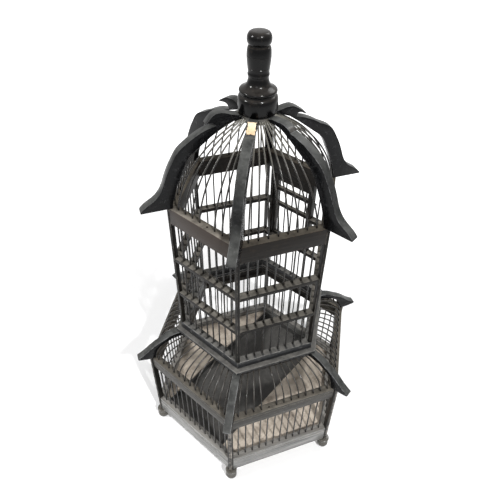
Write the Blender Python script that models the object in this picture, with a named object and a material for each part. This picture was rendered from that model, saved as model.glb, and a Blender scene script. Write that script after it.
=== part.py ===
"""A six-sided wooden birdcage in two tiers, with a rod dome, six leaf-ended ribs and a turned finial.

The cage stands on the floor plane, +Z up, with its axis on the Z axis. One corner points to the front,
along -Y. Corners and faces are counted round from there, towards +X. The upper cage has a hinged door in
its back right face, and a tray slides out under the sill of the front left face.
"""

import math

import bmesh
import bpy
from mathutils import Matrix, Vector

SIDES = 6
CORNER_NAMES = ("front", "front_right", "back_right", "back", "back_left", "front_left")
FACE_NAMES = ("front_right", "right", "back_right", "back_left", "left", "front_left")
SLOPE = math.tan(math.radians(30))

# Clearances
GAP = 0.0003
OVERRUN = 0.004

# Plan of the two tiers: distances from the cage's axis to their corners
LOWER_RADIUS = 0.2230
UPPER_RADIUS = 0.1500

# Turned feet: a ball, and a cushion above it
FOOT_RADIUS = 0.0120
FOOT_FLAT_RADIUS = 0.0040
FOOT_NECK_RADIUS = 0.0065
FOOT_HEIGHT = 0.0345
FOOT_CUSHION_DROP = 0.0025
FOOT_CUSHION_HEIGHT = 0.0070
FOOT_CUSHION_RADIUS = 0.0122
FOOT_CUSHION_ROUND = 0.0018
FOOT_INSET = 0.0045
FOOT_CORNER_RADIUS = LOWER_RADIUS - FOOT_INSET
FOOT_SEGMENTS = 10
FOOT_RINGS = 6

# Lower cage: bottom rail, with its sill, and the ledge that carries the floor
BOTTOM_RAIL_HEIGHT = 0.0445
BOTTOM_RAIL_BASE = FOOT_HEIGHT + GAP
BOTTOM_RAIL_TOP = BOTTOM_RAIL_BASE + BOTTOM_RAIL_HEIGHT
RAIL_DEPTH = 0.0145
SILL_HEIGHT = 0.0080
SILL_GROOVE_HEIGHT = 0.0026
SILL_GROOVE_DEPTH = 0.0020
SILL_ROUND = 0.0014
LEDGE_HEIGHT = 0.0038
LEDGE_WIDTH = 0.0060

# Lower cage: top rail and posts
LOWER_BAY_HEIGHT = 0.1235
LOWER_RAIL_HEIGHT = 0.0330
LOWER_RAIL_BASE = BOTTOM_RAIL_TOP + LOWER_BAY_HEIGHT
LOWER_RAIL_TOP = LOWER_RAIL_BASE + LOWER_RAIL_HEIGHT
LOWER_RAIL_SETBACK = 0.0010
LOWER_RAIL_RADIUS = LOWER_RADIUS - LOWER_RAIL_SETBACK
LOWER_RAIL_STEP_HEIGHT = 0.0075
LOWER_RAIL_STEP_DEPTH = 0.0012
LOWER_POST_PROUD = 0.0020
LOWER_POST_RADIUS = LOWER_RADIUS + LOWER_POST_PROUD
LOWER_POST_HALF_WIDTH = 0.0068
REED_WIDTH = 0.0012
REED_DEPTH = 0.0010
REED_SHARE = 0.42

# Neck between the tiers: the ring that takes the roof rods, the collar board and the upper base rail
NECK_RADIUS = UPPER_RADIUS
NECK_WIDTH = 0.0155
NECK_BORE_RADIUS = NECK_RADIUS - NECK_WIDTH
ROOF_RISE = 0.0610
ROOF_RING_HEIGHT = 0.0187
COLLAR_PROUD = 0.0110
COLLAR_RADIUS = NECK_RADIUS + COLLAR_PROUD
COLLAR_BASE = LOWER_RAIL_TOP + ROOF_RISE
COLLAR_HEIGHT = 0.0067
ROOF_RING_BASE = COLLAR_BASE - GAP - ROOF_RING_HEIGHT
BASE_RAIL_HEIGHT = 0.0170
BASE_RAIL_BASE = COLLAR_BASE + COLLAR_HEIGHT + GAP
BASE_RAIL_TOP = BASE_RAIL_BASE + BASE_RAIL_HEIGHT

# Lower cage: rods. The roof rods' shares run from the neck to the rod's foot and up to its end
LOWER_ROD_DIVISIONS = 14
LOWER_ROD_INSET = 0.0083
LOWER_ROD_CORNER_RADIUS = LOWER_RADIUS - LOWER_ROD_INSET
ROD_RADIUS = 0.0014
ROD_SIDES = 5
ROD_SEAT = 0.0060
ROOF_ROD_LIFT = 0.0075
ROOF_ROD_END = ROOF_RING_BASE + ROOF_ROD_LIFT
ROOF_CURVE_SHARES = ((0.927, 0.36), (0.716, 0.69), (0.366, 0.90))
MISSING_ROOF_ROD = (0, 5)

# Upper cage: posts, rails and rods
UPPER_BAY_HEIGHT = 0.2515
UPPER_POST_HALF_WIDTH = 0.0050
UPPER_RAIL_DEPTH = 0.0150
UPPER_RAIL_HEIGHT = 0.0311
UPPER_RAIL_BASE = BASE_RAIL_TOP + UPPER_BAY_HEIGHT
UPPER_RAIL_TOP = UPPER_RAIL_BASE + UPPER_RAIL_HEIGHT
MID_RAIL_SHARES = (0.35, 0.69)
MID_RAIL_HEIGHT = 0.0080
MID_RAIL_SETBACK = 0.0006
MID_RAIL_DEPTH = 0.0140
UPPER_ROD_DIVISIONS = 9
UPPER_ROD_INSET = 0.0089
UPPER_ROD_CORNER_RADIUS = UPPER_RADIUS - UPPER_ROD_INSET

# Dome
DOME_RISE = 0.1399
WIRE_RADIUS = 0.0013
DOME_CURVE_SHARES = ((0.94, 0.26), (0.83, 0.48), (0.68, 0.665), (0.50, 0.82), (0.31, 0.935))
MISSING_DOME_WIRE = (5, 5)
SPARE_HOLE_RADIUS = 0.0016
SPARE_HOLE_DEPTH = 0.0080
SPARE_HOLE_SIDES = 8

# Crown hub, under the finial
HUB_RADIUS = 0.0260
HUB_HEIGHT = 0.0095
HUB_SIDES = 24
HUB_SCREW_BORE = 0.0030

# Finial, from the bottom of its drum to its top: height above the drum's bottom, radius
FINIAL_BASE = UPPER_RAIL_TOP + DOME_RISE
FINIAL_HEIGHT = 0.1131
FINIAL_RADIUS = 0.0299
FINIAL_SIDES = 20
DRUM_SHARES = ((0.0, 0.90), (0.03, 0.97), (0.09, 1.0), (0.17, 1.0), (0.225, 0.965), (0.247, 0.86))
COLLAR_SHARES = ((0.263, 0.86), (0.276, 0.915), (0.295, 0.935), (0.31, 0.90), (0.337, 0.74), (0.36, 0.61))
NECK_SHARES = ((0.40, 0.52), (0.471, 0.485), (0.488, 0.52), (0.508, 0.52), (0.522, 0.505))
BARREL_SHARES = ((0.61, 0.55), (0.705, 0.575), (0.777, 0.565), (0.822, 0.535), (0.833, 0.445))
KNOB_SHARES = ((0.846, 0.49), (0.862, 0.545), (0.89, 0.575), (0.93, 0.575), (0.962, 0.54), (0.99, 0.42))

# Upper ribs
UPPER_RIB_THICKNESS = 0.0145
UPPER_RIB_OVERHANG = 0.0420
UPPER_RIB_REACH = UPPER_RADIUS + UPPER_RIB_OVERHANG
UPPER_RIB_CROWN_DROP = 0.0065
UPPER_RIB_RISE = DOME_RISE - UPPER_RIB_CROWN_DROP
UPPER_RIB_INNER_SHARES = (
    (0.735, 0.0), (0.711, 0.16), (0.677, 0.314), (0.6375, 0.438), (0.597, 0.57), (0.542, 0.678),
    (0.443, 0.79), (0.347, 0.895), (0.255, 0.985),
)
UPPER_RIB_OUTER_SHARES = (
    (0.35, 0.97), (0.435, 0.937), (0.531, 0.862), (0.63, 0.76), (0.703, 0.61), (0.771, 0.408), (0.823, 0.239),
    (0.917, 0.11),
)
UPPER_RIB_TIP_SHARE = 0.012
UPPER_RIB_ROOT_SHARES = (1.0125, 1.062)
UPPER_RIB_TONGUE_HEIGHT = 0.0020
LEAF_SHARES = ((0.225, 1.085), (0.295, 1.115), (0.335, 1.115), (0.375, 1.075))
LEAF_TIP_SHARES = (0.42, 1.0)
LEAF_UNDER_SHARES = ((0.38, 1.008), (0.357, 1.0))
BROKEN_LEAF_SHARES = {
    0: ((0.20, 1.075), (0.235, 1.087), (0.238, 0.965), (0.31, 0.98)),
    1: ((0.25, 1.05), (0.297, 1.035), (0.33, 1.018), (0.348, 0.985)),
}

# Lower ribs. The back's shares run from the neck to the nose, the underside's from the neck to the foot
LOWER_RIB_THICKNESS = 0.0150
LOWER_RIB_OVERHANG = 0.0245
LOWER_RIB_REACH = LOWER_RADIUS + LOWER_RIB_OVERHANG
LOWER_RIB_FOOT_PROUD = 0.0010
LOWER_RIB_FOOT_LENGTH = 0.0129
LOWER_RIB_TOP_SHARES = ((0.239, 0.95), (0.429, 0.79), (0.594, 0.64), (0.733, 0.45), (0.860, 0.28))
LOWER_RIB_SHOULDER_SHARE = 0.124
LOWER_RIB_NOSE_SHARES = ((1.0, 0.14), (0.99, 0.07))
LOWER_RIB_UNDER_SHARES = (
    (0.959, 0.20), (0.867, 0.43), (0.705, 0.60), (0.522, 0.71), (0.300, 0.79), (0.178, 0.83),
)

# Floor, with the channel that the tray runs in
FLOOR_DROP = 0.0165
FLOOR_TOP = BOTTOM_RAIL_TOP - FLOOR_DROP
CHANNEL_DEPTH = 0.0200
CHANNEL_FLOOR = FLOOR_TOP - CHANNEL_DEPTH
CHANNEL_LEFT_MARGIN = 0.0130
CHANNEL_RIGHT_MARGIN = 0.0415
TRAY_FACE = 5

# Tray
TRAY_CLEARANCE = 0.0008
TRAY_WALL = 0.0022
TRAY_BOTTOM = 0.0022
TRAY_HEIGHT = 0.0170
TRAY_FRONT_LAP = 0.0010
TRAY_FRONT_CLEARANCE = 0.0004

# Door in the upper cage
DOOR_FACE = 2
DOOR_RODS = (2, 8)
JAMB_WIDTH = 0.0050
JAMB_SETBACK = 0.0012
DOOR_SIDE_CLEARANCE = 0.0016
DOOR_HINGE_CLEARANCE = 0.0003
DOOR_END_CLEARANCE = 0.0012
DOOR_THICKNESS = 0.0080
DOOR_STILE = 0.0070
DOOR_BOTTOM_BAR = 0.0070
DOOR_TOP_BOARD = 0.0140
DOOR_HEAD = 0.0125
DOOR_TOP = UPPER_RAIL_BASE - DOOR_HEAD
DOOR_LIGHT_HEIGHT = 0.0150
DOOR_UPPER_BAR_TOP = DOOR_TOP - DOOR_TOP_BOARD - DOOR_LIGHT_HEIGHT
HINGE_LIFT = 0.0240
HINGE_DROP = 0.0340
HINGE_LENGTH = 0.0080
HINGE_PIN_RADIUS = 0.0010
HINGE_PIN_CLEARANCE = 0.0003
HINGE_BARREL_RADIUS = 0.0021
HINGE_STAND_OFF = 0.0027
HINGE_PLATE = 0.0012
HINGE_PLATE_LENGTH = 0.0100
HINGE_SIDES = 12

# Turn button that holds the door
BUTTON_DROP = 0.0135
BUTTON_LENGTH = 0.0200
BUTTON_WIDTH = 0.0052
BUTTON_THICKNESS = 0.0036
BUTTON_PIN_RADIUS = 0.0011
BUTTON_HEAD_RADIUS = 0.0024
BUTTON_HEAD_HEIGHT = 0.0012
BUTTON_SIDES = 12


def clear_scene():
    for thing in list(bpy.data.objects):
        bpy.data.objects.remove(thing)


def finish(name, colour, roughness, metallic=0.0):
    """A new Principled material for one piece."""
    material = bpy.data.materials.new(name)
    material.use_nodes = True
    shader = material.node_tree.nodes["Principled BSDF"]
    shader.inputs["Base Color"].default_value = (*colour, 1.0)
    shader.inputs["Roughness"].default_value = roughness
    shader.inputs["Metallic"].default_value = metallic
    return material


def black_paint(name):
    return finish(name, (0.025, 0.024, 0.023), 0.42)


def worn_paint(name):
    return finish(name, (0.052, 0.049, 0.045), 0.55)


def bare_wood(name):
    return finish(name, (0.34, 0.27, 0.20), 0.8)


def dark_board(name):
    return finish(name, (0.045, 0.043, 0.042), 0.65)


def place(name, mesh_data, material, smooth=False):
    """Turns bmesh data into a named object in the scene."""
    bmesh.ops.remove_doubles(mesh_data, verts=mesh_data.verts, dist=GAP / 100)
    bmesh.ops.recalc_face_normals(mesh_data, faces=mesh_data.faces)
    mesh = bpy.data.meshes.new(name)
    mesh_data.to_mesh(mesh)
    mesh_data.free()
    if smooth:
        mesh.shade_smooth()
        mesh.set_sharp_from_angle(angle=math.radians(40))
    thing = bpy.data.objects.new(name, mesh)
    if material:
        mesh.materials.append(material)
    bpy.context.scene.collection.objects.link(thing)
    return thing


def helper(name, mesh_data):
    """A cutter or an addition that only a Boolean reads."""
    thing = place(name, mesh_data, None)
    thing.hide_render = True
    thing.display_type = "WIRE"
    return thing


def hang_on(name, point, pieces):
    """Parents moving pieces to an empty that stands on their joint's axis."""
    joint = bpy.data.objects.new(name, None)
    joint.location = point
    bpy.context.scene.collection.objects.link(joint)
    for piece in pieces:
        piece.data.transform(Matrix.Translation(-point))
        piece.parent = joint


def combine(piece, tool, operation):
    modifier = piece.modifiers.new(tool.name, "BOOLEAN")
    modifier.operation = operation
    modifier.solver = "EXACT"
    modifier.object = tool


def join(piece, tool):
    combine(piece, tool, "UNION")


def cut(piece, tool):
    combine(piece, tool, "DIFFERENCE")


def add_loft(mesh_data, rings, closed=False):
    """Skins rings of points, each of the same count. An open loft gets a cap at each end."""
    loops = [[mesh_data.verts.new(point) for point in ring] for ring in rings]
    pairs = list(zip(loops, loops[1:]))
    if closed:
        pairs.append((loops[-1], loops[0]))
    for first, second in pairs:
        for i in range(len(first)):
            j = (i + 1) % len(first)
            mesh_data.faces.new((first[i], first[j], second[j], second[i]))
    if not closed:
        mesh_data.faces.new(loops[0])
        mesh_data.faces.new(list(reversed(loops[-1])))


def loft(rings, closed=False):
    mesh_data = bmesh.new()
    add_loft(mesh_data, rings, closed)
    return mesh_data


def corner(radius, index, height=0.0):
    """A corner of the six-sided plan. Corner 0 is at the front."""
    angle = math.radians(360 / SIDES * index - 90)
    return Vector((radius * math.cos(angle), radius * math.sin(angle), height))


def face_axes(face):
    """Unit vectors along a face, towards its second corner, and out of it."""
    along = (corner(1, face + 1) - corner(1, face)).normalized()
    return along, Vector((along.y, -along.x, 0))


def on_face(face, radius, along, depth, height):
    """A point by its distance from the face's first corner and its depth behind the face."""
    run, out = face_axes(face)
    point = corner(radius, face) + run * along - out * depth
    point.z = height
    return point


def face_block(face, radius, alongs, depths, heights):
    """A block that lies square to a face."""
    rings = []
    for height in heights:
        rings.append([
            on_face(face, radius, alongs[0], depths[0], height),
            on_face(face, radius, alongs[1], depths[0], height),
            on_face(face, radius, alongs[1], depths[1], height),
            on_face(face, radius, alongs[0], depths[1], height),
        ])
    return loft(rings)


def circle(centre, radius, sides, side, up):
    points = []
    for i in range(sides):
        angle = 2 * math.pi * i / sides
        points.append(centre + side * (radius * math.cos(angle)) + up * (radius * math.sin(angle)))
    return points


def add_tube(mesh_data, path, radius, sides, end_direction=None):
    """A tube along a path that lies in one upright plane. Its last section can face a given way."""
    rings = []
    plane = (path[-1] - path[0]).copy()
    plane.z = 0
    outward = plane.normalized() if plane.length > GAP else Vector((1, 0, 0))
    side = outward.cross(Vector((0, 0, 1)))
    for i, centre in enumerate(path):
        before = path[max(i - 1, 0)]
        after = path[min(i + 1, len(path) - 1)]
        tangent = (after - before).normalized()
        across = side
        if end_direction and i == len(path) - 1:
            tangent = end_direction
            across = tangent.cross(Vector((0, 0, 1))).normalized()
        rings.append(circle(centre, radius, sides, across, across.cross(tangent).normalized()))
    add_loft(mesh_data, rings)


def turned(outline, sides, centre):
    """A body of revolution about the upright line through centre, from (radius, height) points."""
    mesh_data = bmesh.new()
    rings = []
    for radius, height in outline:
        middle = centre + Vector((0, 0, height))
        rings.append(circle(middle, radius, sides, Vector((1, 0, 0)), Vector((0, 1, 0))))
    add_loft(mesh_data, rings)
    return mesh_data


def hexagon_ring(section):
    """A mitred six-sided ring from a closed section of (corner radius, height) points."""
    rings = [[corner(radius, index, height) for radius, height in section] for index in range(SIDES)]
    return loft(rings, closed=True)


def smooth_curve(points, steps):
    """Points on a smooth curve through the given ones."""
    curve = []
    last = len(points) - 1
    for i in range(last):
        before = points[max(i - 1, 0)]
        after = points[min(i + 2, last)]
        for step in range(steps):
            t = step / steps
            curve.append(tuple(
                0.5 * (2 * b + (c - a) * t + (2 * a - 5 * b + 4 * c - d) * t ** 2
                       + (3 * b - a - 3 * c + d) * t ** 3)
                for a, b, c, d in zip(before, points[i], points[i + 1], after)
            ))
    curve.append(tuple(points[last]))
    return curve


def rail_plan(face, radius, depth, post_half_width, setback, height):
    """The plan of a rail between two posts: square against the posts, mitred behind them."""
    square_end = post_half_width + GAP
    mitre_start = post_half_width / SLOPE
    mitre_end = depth * SLOPE + GAP
    near = [(square_end, setback), (square_end, mitre_start), (mitre_end, depth)]
    far = [(radius - along, inset) for along, inset in reversed(near)]
    return [on_face(face, radius, along, inset, height) for along, inset in near + far]


def post_plan(radius, half_width, index, height, reed=0.0):
    """The plan of a corner post: the corner's two faces, with a reed cut in each, and an inner point."""
    points = []
    for face, sign in ((index - 1, -1), (index, 1)):
        run, out = face_axes(face)
        stops = [(half_width, 0.0)]
        if reed:
            middle = half_width * REED_SHARE
            stops += [(middle + reed, 0.0), (middle, REED_DEPTH), (middle - reed, 0.0)]
        if sign > 0:
            stops.reverse()
        for along, depth in stops:
            point = corner(radius, index, height) + run * (sign * along) - out * depth
            points.append(point)
        if sign < 0:
            points.append(corner(radius, index, height))
    points.append(corner(radius - 2 * half_width, index, height))
    return points


def rod_place(face, corner_radius, divisions, index, height):
    return on_face(face, corner_radius, corner_radius * index / divisions, 0.0, height)


def make_feet():
    for index, name in enumerate(CORNER_NAMES):
        start = math.asin(FOOT_FLAT_RADIUS / FOOT_RADIUS)
        end = math.pi - math.asin(FOOT_NECK_RADIUS / FOOT_RADIUS)
        lift = FOOT_RADIUS * math.cos(start)
        outline = []
        for ring in range(FOOT_RINGS + 1):
            angle = start + (end - start) * ring / FOOT_RINGS
            outline.append((FOOT_RADIUS * math.sin(angle), lift - FOOT_RADIUS * math.cos(angle)))
        cushion_top = FOOT_HEIGHT - FOOT_CUSHION_DROP
        cushion_base = cushion_top - FOOT_CUSHION_HEIGHT
        rim = FOOT_CUSHION_RADIUS - FOOT_CUSHION_ROUND
        outline += [
            (FOOT_NECK_RADIUS, cushion_base),
            (rim, cushion_base),
            (FOOT_CUSHION_RADIUS, cushion_base + FOOT_CUSHION_ROUND),
            (FOOT_CUSHION_RADIUS, cushion_top - FOOT_CUSHION_ROUND),
            (rim, cushion_top),
            (FOOT_NECK_RADIUS, cushion_top),
            (FOOT_NECK_RADIUS, FOOT_HEIGHT),
        ]
        ball = turned(outline, FOOT_SEGMENTS, corner(FOOT_CORNER_RADIUS, index))
        place("ball_foot_" + name, ball, black_paint("ball_foot_" + name), smooth=True)


def bottom_rail_section():
    """The bottom rail's outer side: a plain face, a groove, and the round-edged sill above it."""
    sill_base = BOTTOM_RAIL_TOP - SILL_HEIGHT
    groove_base = sill_base - SILL_GROOVE_HEIGHT
    groove_radius = LOWER_RADIUS - SILL_GROOVE_DEPTH
    return [
        (LOWER_RADIUS, BOTTOM_RAIL_BASE),
        (LOWER_RADIUS, groove_base),
        (groove_radius, groove_base + SILL_GROOVE_DEPTH / 2),
        (groove_radius, sill_base),
        (LOWER_RADIUS, sill_base + SILL_ROUND),
        (LOWER_RADIUS, BOTTOM_RAIL_TOP - SILL_ROUND),
        (LOWER_RADIUS - SILL_ROUND, BOTTOM_RAIL_TOP),
    ]


def channel_on_tray_face():
    """Where the tray's channel starts and ends along the outside of its face."""
    return CHANNEL_LEFT_MARGIN - TRAY_FRONT_LAP, LOWER_RADIUS - CHANNEL_RIGHT_MARGIN + TRAY_FRONT_LAP


def lower_inner_radius():
    return LOWER_RADIUS - RAIL_DEPTH * 2 * SLOPE


def make_bottom_rail():
    inner = lower_inner_radius()
    section = bottom_rail_section()
    section += [
        (inner, BOTTOM_RAIL_TOP),
        (inner, BOTTOM_RAIL_BASE + LEDGE_HEIGHT),
        (inner - LEDGE_WIDTH, BOTTOM_RAIL_BASE + LEDGE_HEIGHT),
        (inner - LEDGE_WIDTH, BOTTOM_RAIL_BASE),
    ]
    rail = place("bottom_rail", hexagon_ring(section), worn_paint("bottom_rail"))
    for index, name in enumerate(CORNER_NAMES):
        heights = (BOTTOM_RAIL_BASE - OVERRUN, BOTTOM_RAIL_TOP + OVERRUN)
        notch_radius = LOWER_POST_RADIUS + OVERRUN
        notch_width = LOWER_POST_HALF_WIDTH + GAP + OVERRUN / 2
        rings = [post_plan(notch_radius, notch_width, index, height) for height in heights]
        cut(rail, helper("post_notch_" + name, loft(rings)))
    start, end = channel_on_tray_face()
    sill_base = BOTTOM_RAIL_TOP - SILL_HEIGHT
    depths = (-OVERRUN, RAIL_DEPTH + LEDGE_WIDTH + OVERRUN)
    mouth = face_block(
        TRAY_FACE, LOWER_RADIUS, (start, end), depths, (BOTTOM_RAIL_BASE - OVERRUN, sill_base)
    )
    cut(rail, helper("tray_mouth", mouth))


def make_floor():
    """One thick board, bare on top, with the tray's channel cut across it."""
    edge = lower_inner_radius() - GAP
    base = BOTTOM_RAIL_BASE + LEDGE_HEIGHT + GAP
    plate = loft([[corner(edge, index, height) for index in range(SIDES)] for height in (base, FLOOR_TOP)])
    floor = place("floor_board", plate, bare_wood("floor_board"))
    channel = face_block(
        TRAY_FACE, LOWER_RADIUS,
        (CHANNEL_LEFT_MARGIN, LOWER_RADIUS - CHANNEL_RIGHT_MARGIN),
        (-OVERRUN, 2 * LOWER_RADIUS),
        (CHANNEL_FLOOR, FLOOR_TOP + OVERRUN),
    )
    cut(floor, helper("tray_channel", channel))


def make_tray():
    """A shallow tray with a front board that closes the mouth in the bottom rail."""
    left = CHANNEL_LEFT_MARGIN + TRAY_CLEARANCE
    right = LOWER_RADIUS - CHANNEL_RIGHT_MARGIN - TRAY_CLEARANCE
    across = math.sqrt(3) * LOWER_RADIUS
    front = RAIL_DEPTH + GAP
    back = across - RAIL_DEPTH - TRAY_CLEARANCE
    base = CHANNEL_FLOOR + GAP
    top = base + TRAY_HEIGHT
    pan = place(
        "tray_pan",
        face_block(TRAY_FACE, LOWER_RADIUS, (left, right), (front, back), (base, top)),
        dark_board("tray_pan"),
    )
    hollow = face_block(
        TRAY_FACE, LOWER_RADIUS,
        (left + TRAY_WALL, right - TRAY_WALL),
        (front + TRAY_WALL, back - TRAY_WALL),
        (base + TRAY_BOTTOM, top + OVERRUN),
    )
    cut(pan, helper("tray_hollow", hollow))
    start, end = channel_on_tray_face()
    groove_base = BOTTOM_RAIL_TOP - SILL_HEIGHT - SILL_GROOVE_HEIGHT
    setback = SILL_GROOVE_DEPTH / (2 * SLOPE)
    levels = [
        (BOTTOM_RAIL_BASE + GAP, 0.0),
        (groove_base, 0.0),
        (groove_base + SILL_GROOVE_DEPTH / 2, setback),
        (BOTTOM_RAIL_TOP - SILL_HEIGHT - TRAY_FRONT_CLEARANCE, setback),
    ]
    rings = []
    for height, inset in levels:
        plan = [
            (start + TRAY_FRONT_CLEARANCE, inset),
            (end - TRAY_FRONT_CLEARANCE, inset),
            (end - TRAY_FRONT_CLEARANCE, RAIL_DEPTH),
            (start + TRAY_FRONT_CLEARANCE, RAIL_DEPTH),
        ]
        rings.append([on_face(TRAY_FACE, LOWER_RADIUS, along, depth, height) for along, depth in plan])
    board = place("tray_front", loft(rings), worn_paint("tray_front"))
    middle_along = (start + end) / 2
    hang_on("tray_slide", on_face(TRAY_FACE, LOWER_RADIUS, middle_along, 0.0, base), (pan, board))


def make_lower_posts():
    for index, name in enumerate(CORNER_NAMES):
        rings = []
        for height in (BOTTOM_RAIL_BASE, LOWER_RAIL_TOP):
            rings.append(post_plan(LOWER_POST_RADIUS, LOWER_POST_HALF_WIDTH, index, height, REED_WIDTH))
        place("lower_post_" + name, loft(rings), black_paint("lower_post_" + name))


def roof_path(face, index):
    """A roof rod's path in its own upright plane through the cage's axis, from its seat to the neck."""
    foot = rod_place(face, LOWER_ROD_CORNER_RADIUS, LOWER_ROD_DIVISIONS, index, 0.0)
    rise = ROOF_ROD_END - LOWER_RAIL_TOP
    path = [foot + Vector((0, 0, LOWER_RAIL_TOP - ROD_SEAT)), foot + Vector((0, 0, LOWER_RAIL_TOP))]
    end = foot * ((NECK_RADIUS + GAP * 2 * SLOPE) / LOWER_ROD_CORNER_RADIUS)
    for radius_share, height_share in ROOF_CURVE_SHARES:
        place_out = end.lerp(foot, radius_share)
        path.append(place_out + Vector((0, 0, LOWER_RAIL_TOP + rise * height_share)))
    path.append(end + Vector((0, 0, ROOF_ROD_END)))
    return path


def make_roof_faces():
    """Each face of the lower cage: its top rail, with the straight rods below and the roof rods above."""
    for face, name in enumerate(FACE_NAMES):
        levels = [
            (LOWER_RAIL_BASE, LOWER_RAIL_STEP_DEPTH),
            (LOWER_RAIL_BASE + LOWER_RAIL_STEP_HEIGHT, LOWER_RAIL_STEP_DEPTH),
            (LOWER_RAIL_BASE + LOWER_RAIL_STEP_HEIGHT + LOWER_RAIL_STEP_DEPTH, 0.0),
            (LOWER_RAIL_TOP, 0.0),
        ]
        half_width = LOWER_POST_HALF_WIDTH
        rings = [rail_plan(face, LOWER_RAIL_RADIUS, RAIL_DEPTH, half_width, inset, height)
                 for height, inset in levels]
        rail = place("lower_face_" + name, loft(rings), worn_paint("lower_face_" + name))
        rods = bmesh.new()
        inwards = -face_axes(face)[1]
        for index in range(1, LOWER_ROD_DIVISIONS):
            if (face, index) != MISSING_ROOF_ROD:
                add_tube(rods, roof_path(face, index), ROD_RADIUS, ROD_SIDES, inwards)
            ends = (LOWER_RAIL_BASE + ROD_SEAT, BOTTOM_RAIL_TOP + GAP)
            path = [rod_place(face, LOWER_ROD_CORNER_RADIUS, LOWER_ROD_DIVISIONS, index, height)
                    for height in ends]
            add_tube(rods, path, ROD_RADIUS, ROD_SIDES)
        join(rail, helper("lower_rods_" + name, rods))
        if face == MISSING_ROOF_ROD[0]:
            foot = rod_place(face, LOWER_ROD_CORNER_RADIUS, LOWER_ROD_DIVISIONS, MISSING_ROOF_ROD[1], 0.0)
            cut(rail, spare_hole("lower_spare_hole", foot, LOWER_RAIL_TOP))


def spare_hole(name, foot, top):
    """The open hole of a rod that is missing."""
    outline = [(SPARE_HOLE_RADIUS, top - SPARE_HOLE_DEPTH), (SPARE_HOLE_RADIUS, top + OVERRUN)]
    return helper(name, turned(outline, SPARE_HOLE_SIDES, foot))


def upright_board(outline, index, thickness):
    """A board in a corner's upright plane, from an outline of (radius, height) points."""
    ray = corner(1, index)
    aside = ray.cross(Vector((0, 0, 1)))
    rings = []
    for offset in (-thickness / 2, thickness / 2):
        rings.append([ray * radius + aside * offset + Vector((0, 0, height)) for radius, height in outline])
    return loft(rings)


def lower_rib_outline():
    """From the nose along the back to the neck, then back along the underside to the foot."""
    base = LOWER_RAIL_TOP + GAP
    top = COLLAR_BASE - GAP
    rise = top - base
    inner = NECK_RADIUS + GAP
    foot_end = LOWER_RADIUS + LOWER_RIB_FOOT_PROUD
    foot_start = foot_end - LOWER_RIB_FOOT_LENGTH

    def at(radius_share, height_share):
        return NECK_RADIUS + radius_share * (LOWER_RIB_REACH - NECK_RADIUS), base + rise * height_share

    def below(radius_share, height_share):
        return NECK_RADIUS + radius_share * (foot_start - NECK_RADIUS), base + rise * height_share

    back = [at(*shares) for shares in reversed(LOWER_RIB_NOSE_SHARES)]
    back += smooth_curve([at(*shares) for shares in reversed(LOWER_RIB_TOP_SHARES)], 2)
    back += [at(LOWER_RIB_SHOULDER_SHARE, 1.0), (inner, top)]
    under = smooth_curve([below(*shares) for shares in reversed(LOWER_RIB_UNDER_SHARES)], 2)
    under = [(inner, under[0][1])] + under
    return back + under + [(foot_start, base), (foot_end, base)]


def make_lower_ribs():
    outline = lower_rib_outline()
    for index, name in enumerate(CORNER_NAMES):
        board = upright_board(outline, index, LOWER_RIB_THICKNESS)
        place("lower_rib_" + name, board, black_paint("lower_rib_" + name))


def make_neck():
    rings = (
        ("roof_ring", NECK_RADIUS, ROOF_RING_BASE, COLLAR_BASE - GAP),
        ("collar_board", COLLAR_RADIUS, COLLAR_BASE, COLLAR_BASE + COLLAR_HEIGHT),
        ("upper_base_rail", UPPER_RADIUS, BASE_RAIL_BASE, BASE_RAIL_TOP),
    )
    for name, radius, base, top in rings:
        section = [(radius, base), (radius, top), (NECK_BORE_RADIUS, top), (NECK_BORE_RADIUS, base)]
        place(name, hexagon_ring(section), black_paint(name))


def make_upper_posts():
    for index, name in enumerate(CORNER_NAMES):
        rings = []
        for height in (BASE_RAIL_TOP + GAP, UPPER_RAIL_TOP):
            rings.append(post_plan(UPPER_RADIUS, UPPER_POST_HALF_WIDTH, index, height))
        place("upper_post_" + name, loft(rings), black_paint("upper_post_" + name))


def mid_rail_top(number):
    return BASE_RAIL_TOP + UPPER_BAY_HEIGHT * MID_RAIL_SHARES[number]


def mid_rail_heights():
    tops = [mid_rail_top(number) for number in range(len(MID_RAIL_SHARES))]
    return [(top - MID_RAIL_HEIGHT, top) for top in tops]


def mid_rail(face, heights):
    rings = [rail_plan(face, UPPER_RADIUS, MID_RAIL_DEPTH, UPPER_POST_HALF_WIDTH, MID_RAIL_SETBACK, height)
             for height in heights]
    return loft(rings)


def upper_rod(mesh_data, face, index, base, top):
    path = [rod_place(face, UPPER_ROD_CORNER_RADIUS, UPPER_ROD_DIVISIONS, index, height)
            for height in (base, top)]
    add_tube(mesh_data, path, ROD_RADIUS, ROD_SIDES)


def make_upper_grilles():
    """Each face of the upper cage: its rods, and the two rails that they run through."""
    base = BASE_RAIL_TOP + GAP
    top = UPPER_RAIL_BASE - GAP
    for face, name in enumerate(FACE_NAMES):
        rods = bmesh.new()
        for index in range(1, UPPER_ROD_DIVISIONS):
            below_door = face == DOOR_FACE and DOOR_RODS[0] <= index <= DOOR_RODS[1]
            upper_rod(rods, face, index, base, door_sill() - GAP if below_door else top)
        grille = place("upper_grille_" + name, rods, black_paint("upper_grille_" + name))
        for number, heights in enumerate(mid_rail_heights()):
            join(grille, helper("mid_rail_" + name + "_" + str(number), mid_rail(face, heights)))
        if face == DOOR_FACE:
            fit_doorway(grille)


def door_sill():
    return mid_rail_top(0)


def hinge_heights():
    return door_sill() + HINGE_LIFT, DOOR_TOP - HINGE_DROP


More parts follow.
